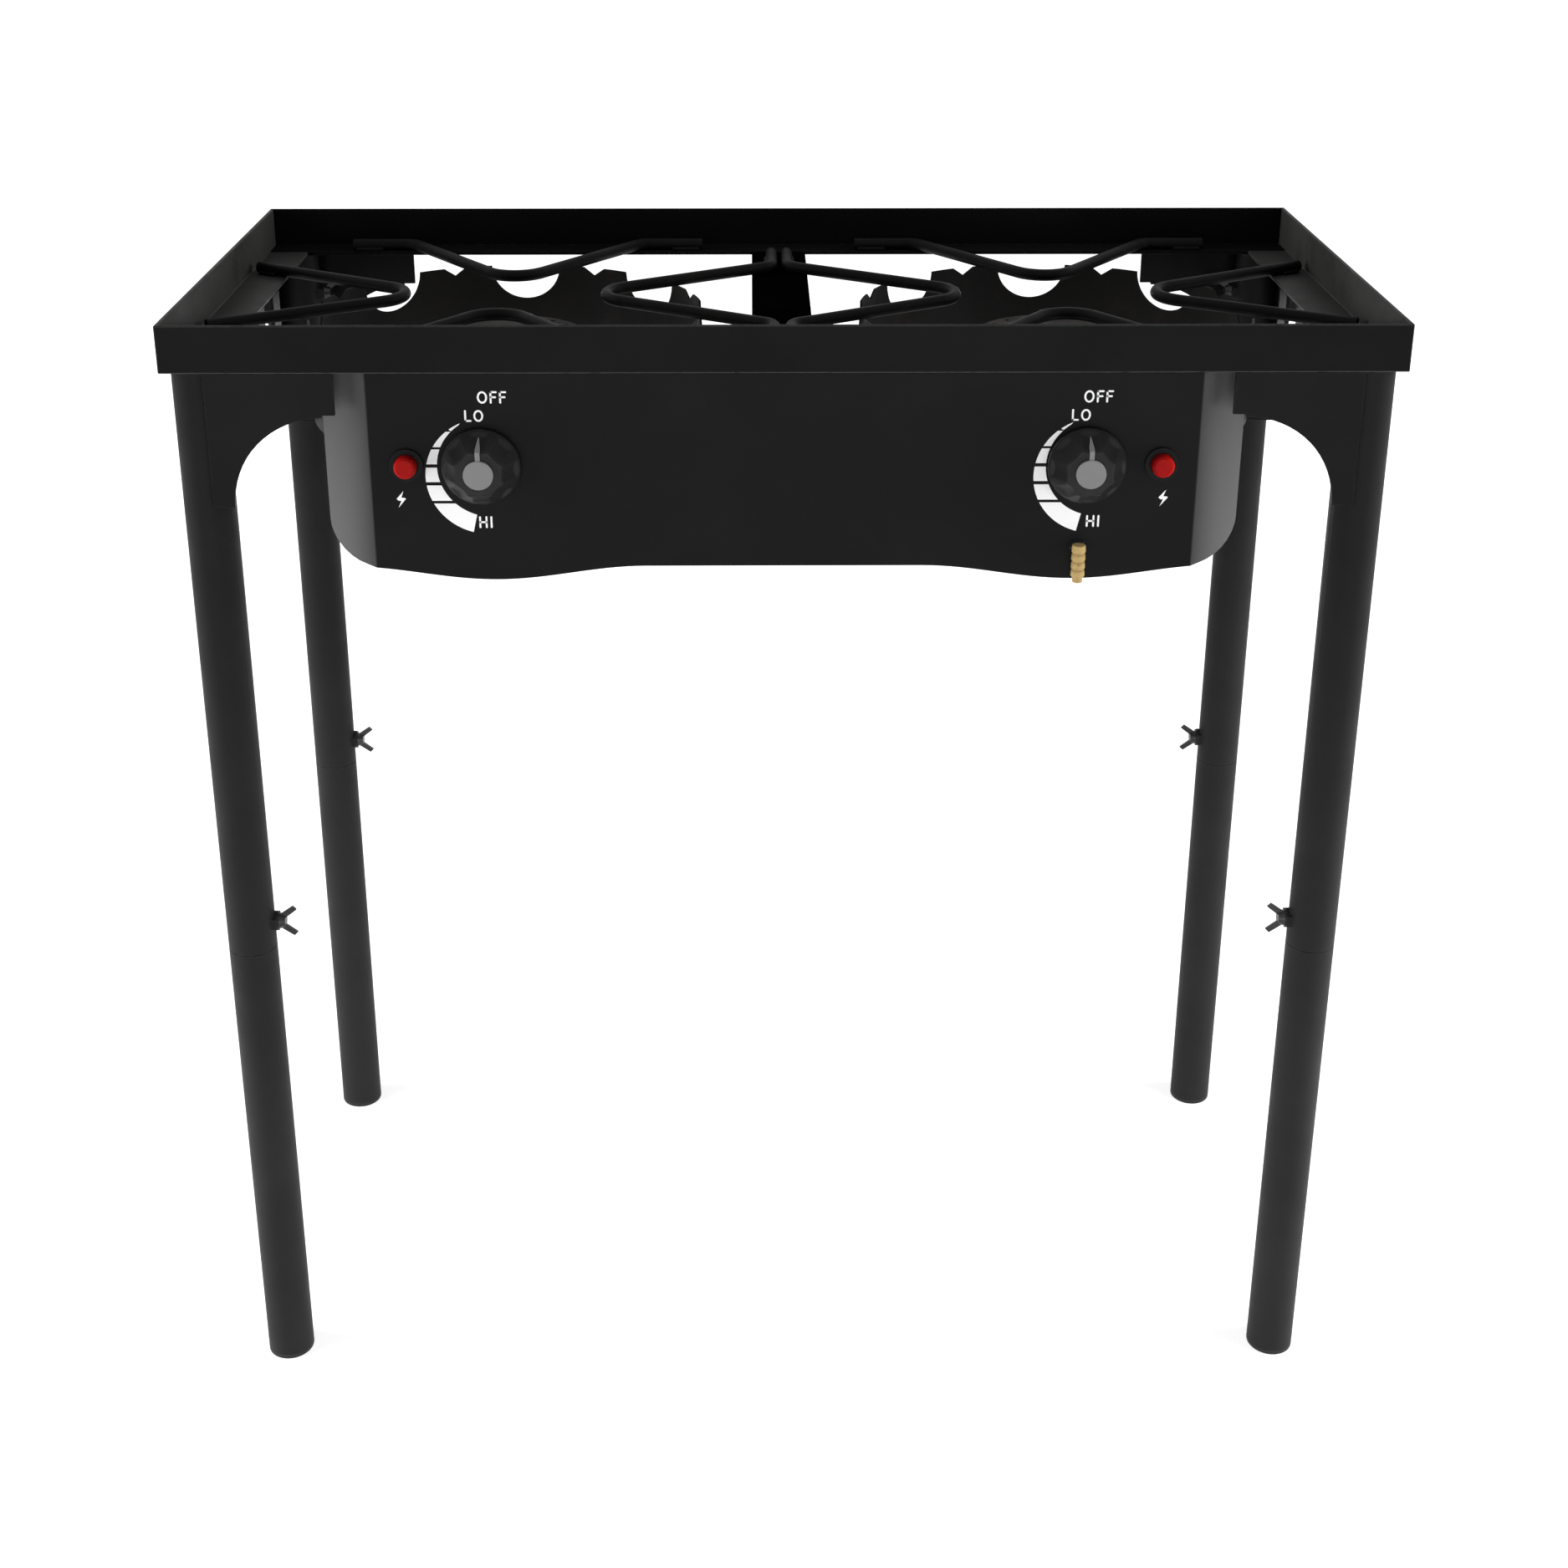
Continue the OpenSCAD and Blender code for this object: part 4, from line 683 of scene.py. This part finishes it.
# Middle lines of the rods' ends: front and rear rods at LONG_SEAT from the tray's middle,
# between LONG_ENDS from the burner; inner rods at INNER_SEAT, between INNER_ENDS; outer rods
# from OUTER_END, SIDE_HALF towards a tip at SIDE_TIP
LONG_SEAT, LONG_ENDS = 152.0, (106, 126)
INNER_SEAT, INNER_ENDS = 5.5, (102, 120)
OUTER_END, SIDE_HALF, SIDE_TIP, OUTER_BEAD = 366.0, 80.0, 231.0, (3, 17)
BEAD_R, BEAD_SIDE, OUTER_SIDE, BEAD_UP, BEAD_STEP = 1.7, ROD_R - 0.4, 3.6, 0.9, 0.8


def bead(x0, y0, x1, y1):
    """A rippled weld from one point to another, a little above the ledge."""
    a, b = [Vector((x, y + TRAY_Y, LEDGE + BEAD_UP)) for x, y in ((x0, y0), (x1, y1))]
    n = int((b - a).length / BEAD_STEP)
    path = [a.lerp(b, i / n) for i in range(n + 1)]
    ends = (0, n)
    return lathe(tube(path, BEAD_R, 10,
                      lambda i: (0.6 if i in ends else 1.0) + 0.14 * (i % 3 == 1)))


beads = []
slope = Vector((SIDE_TIP - OUTER_END, -SIDE_HALF)).normalized()
for _, s in SIDES:
    for e in (-1, 1):
        for h in (-1, 1):
            for k in (-1, 1):
                y = e * LONG_SEAT + k * BEAD_SIDE
                x0, x1 = [s * BURNER_X + h * x for x in LONG_ENDS]
                beads.append(bead(x0, y, x1, y))
        for k in (-1, 1):
            (x0, y0), (x1, y1) = [(OUTER_END + slope.x * t - slope.y * k * OUTER_SIDE,
                                   SIDE_HALF + slope.y * t + slope.x * k * OUTER_SIDE)
                                  for t in OUTER_BEAD]
            beads.append(bead(s * x0, e * y0, s * x1, e * y1))
        x = s * (INNER_SEAT + BEAD_SIDE)
        beads.append(bead(x, e * INNER_ENDS[0], x, e * INNER_ENDS[1]))
piece("rod_welds", *joined(beads), "rod_coat", "stand")

# ---------------------------------------------------------------- gas inlet

# A flat-topped brass barb in front of the panel, on a bent black pipe
INLET_X, INLET_Z, BARB_Y = 181.0, 624.0, -175.0 + TRAY_Y
BARB_TOP, BARB_TIP, RIB_R, CORE_R, NOSE_R = 627.7, 603.4, 4.35, 3.6, 3.2
PIPE_R, PIPE_BEND, PIPE_LOW = 2.9, 3, 5.5
RIBS, RIB_PITCH = 4, 5.2
COLLAR_BACK, COLLAR_R, COLLAR_CORE = -154.2, 4.35, 2.0    # fills the panel's hole
COLLAR_EDGE = COLLAR_R - 0.25


def circle(r, n):
    """Points of a circle of radius r round 0, 0."""
    return [(r * cos(2 * pi * k / n), r * sin(2 * pi * k / n)) for k in range(n)]


bends = rounded([(INLET_X, -145.5, INLET_Z), (INLET_X, -160.5, INLET_Z),
                 (INLET_X, BARB_Y, INLET_Z - PIPE_LOW)], PIPE_BEND)
collar = [[(INLET_X + x, y, INLET_Z + z) for x, z in circle(r, 32)]
          for y, r in ((COLLAR_BACK, COLLAR_CORE), (COLLAR_BACK, COLLAR_EDGE),
                       (COLLAR_BACK - 0.2, COLLAR_R), (FACE_Y - 0.2, COLLAR_R),
                       (FACE_Y - 0.5, COLLAR_EDGE), (FACE_Y - 0.5, COLLAR_CORE))]
piece("gas_inlet_pipe", *joined([lathe(tube(bends, PIPE_R)), lathe(collar)]), "powder_coat",
      "stand")

rows = [(BARB_TOP, 2.0), (BARB_TOP, 3.7), (BARB_TOP - 0.35, 4.05)]
for i in range(RIBS):
    z = BARB_TOP - 0.4 - RIB_PITCH * i
    rows += [(z, 4.0), (z - 1.6, 4.22), (z - 3.7, RIB_R), (z - 4.1, RIB_R - 0.15),
             (z - 4.3, CORE_R), (z - 5.1, CORE_R)]
rows += [(BARB_TIP + 3, NOSE_R), (BARB_TIP + 0.3, NOSE_R), (BARB_TIP, NOSE_R - 0.3),
         (BARB_TIP, 2.0), (BARB_TIP + 6, 1.9)]           # the last two are the bore
rings = [[(INLET_X + x, BARB_Y + y, z) for x, y in circle(r, 48)] for z, r in rows]
barb = piece("gas_inlet_barb", *lathe(rings), "brass", "stand")
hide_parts("hose_barb")
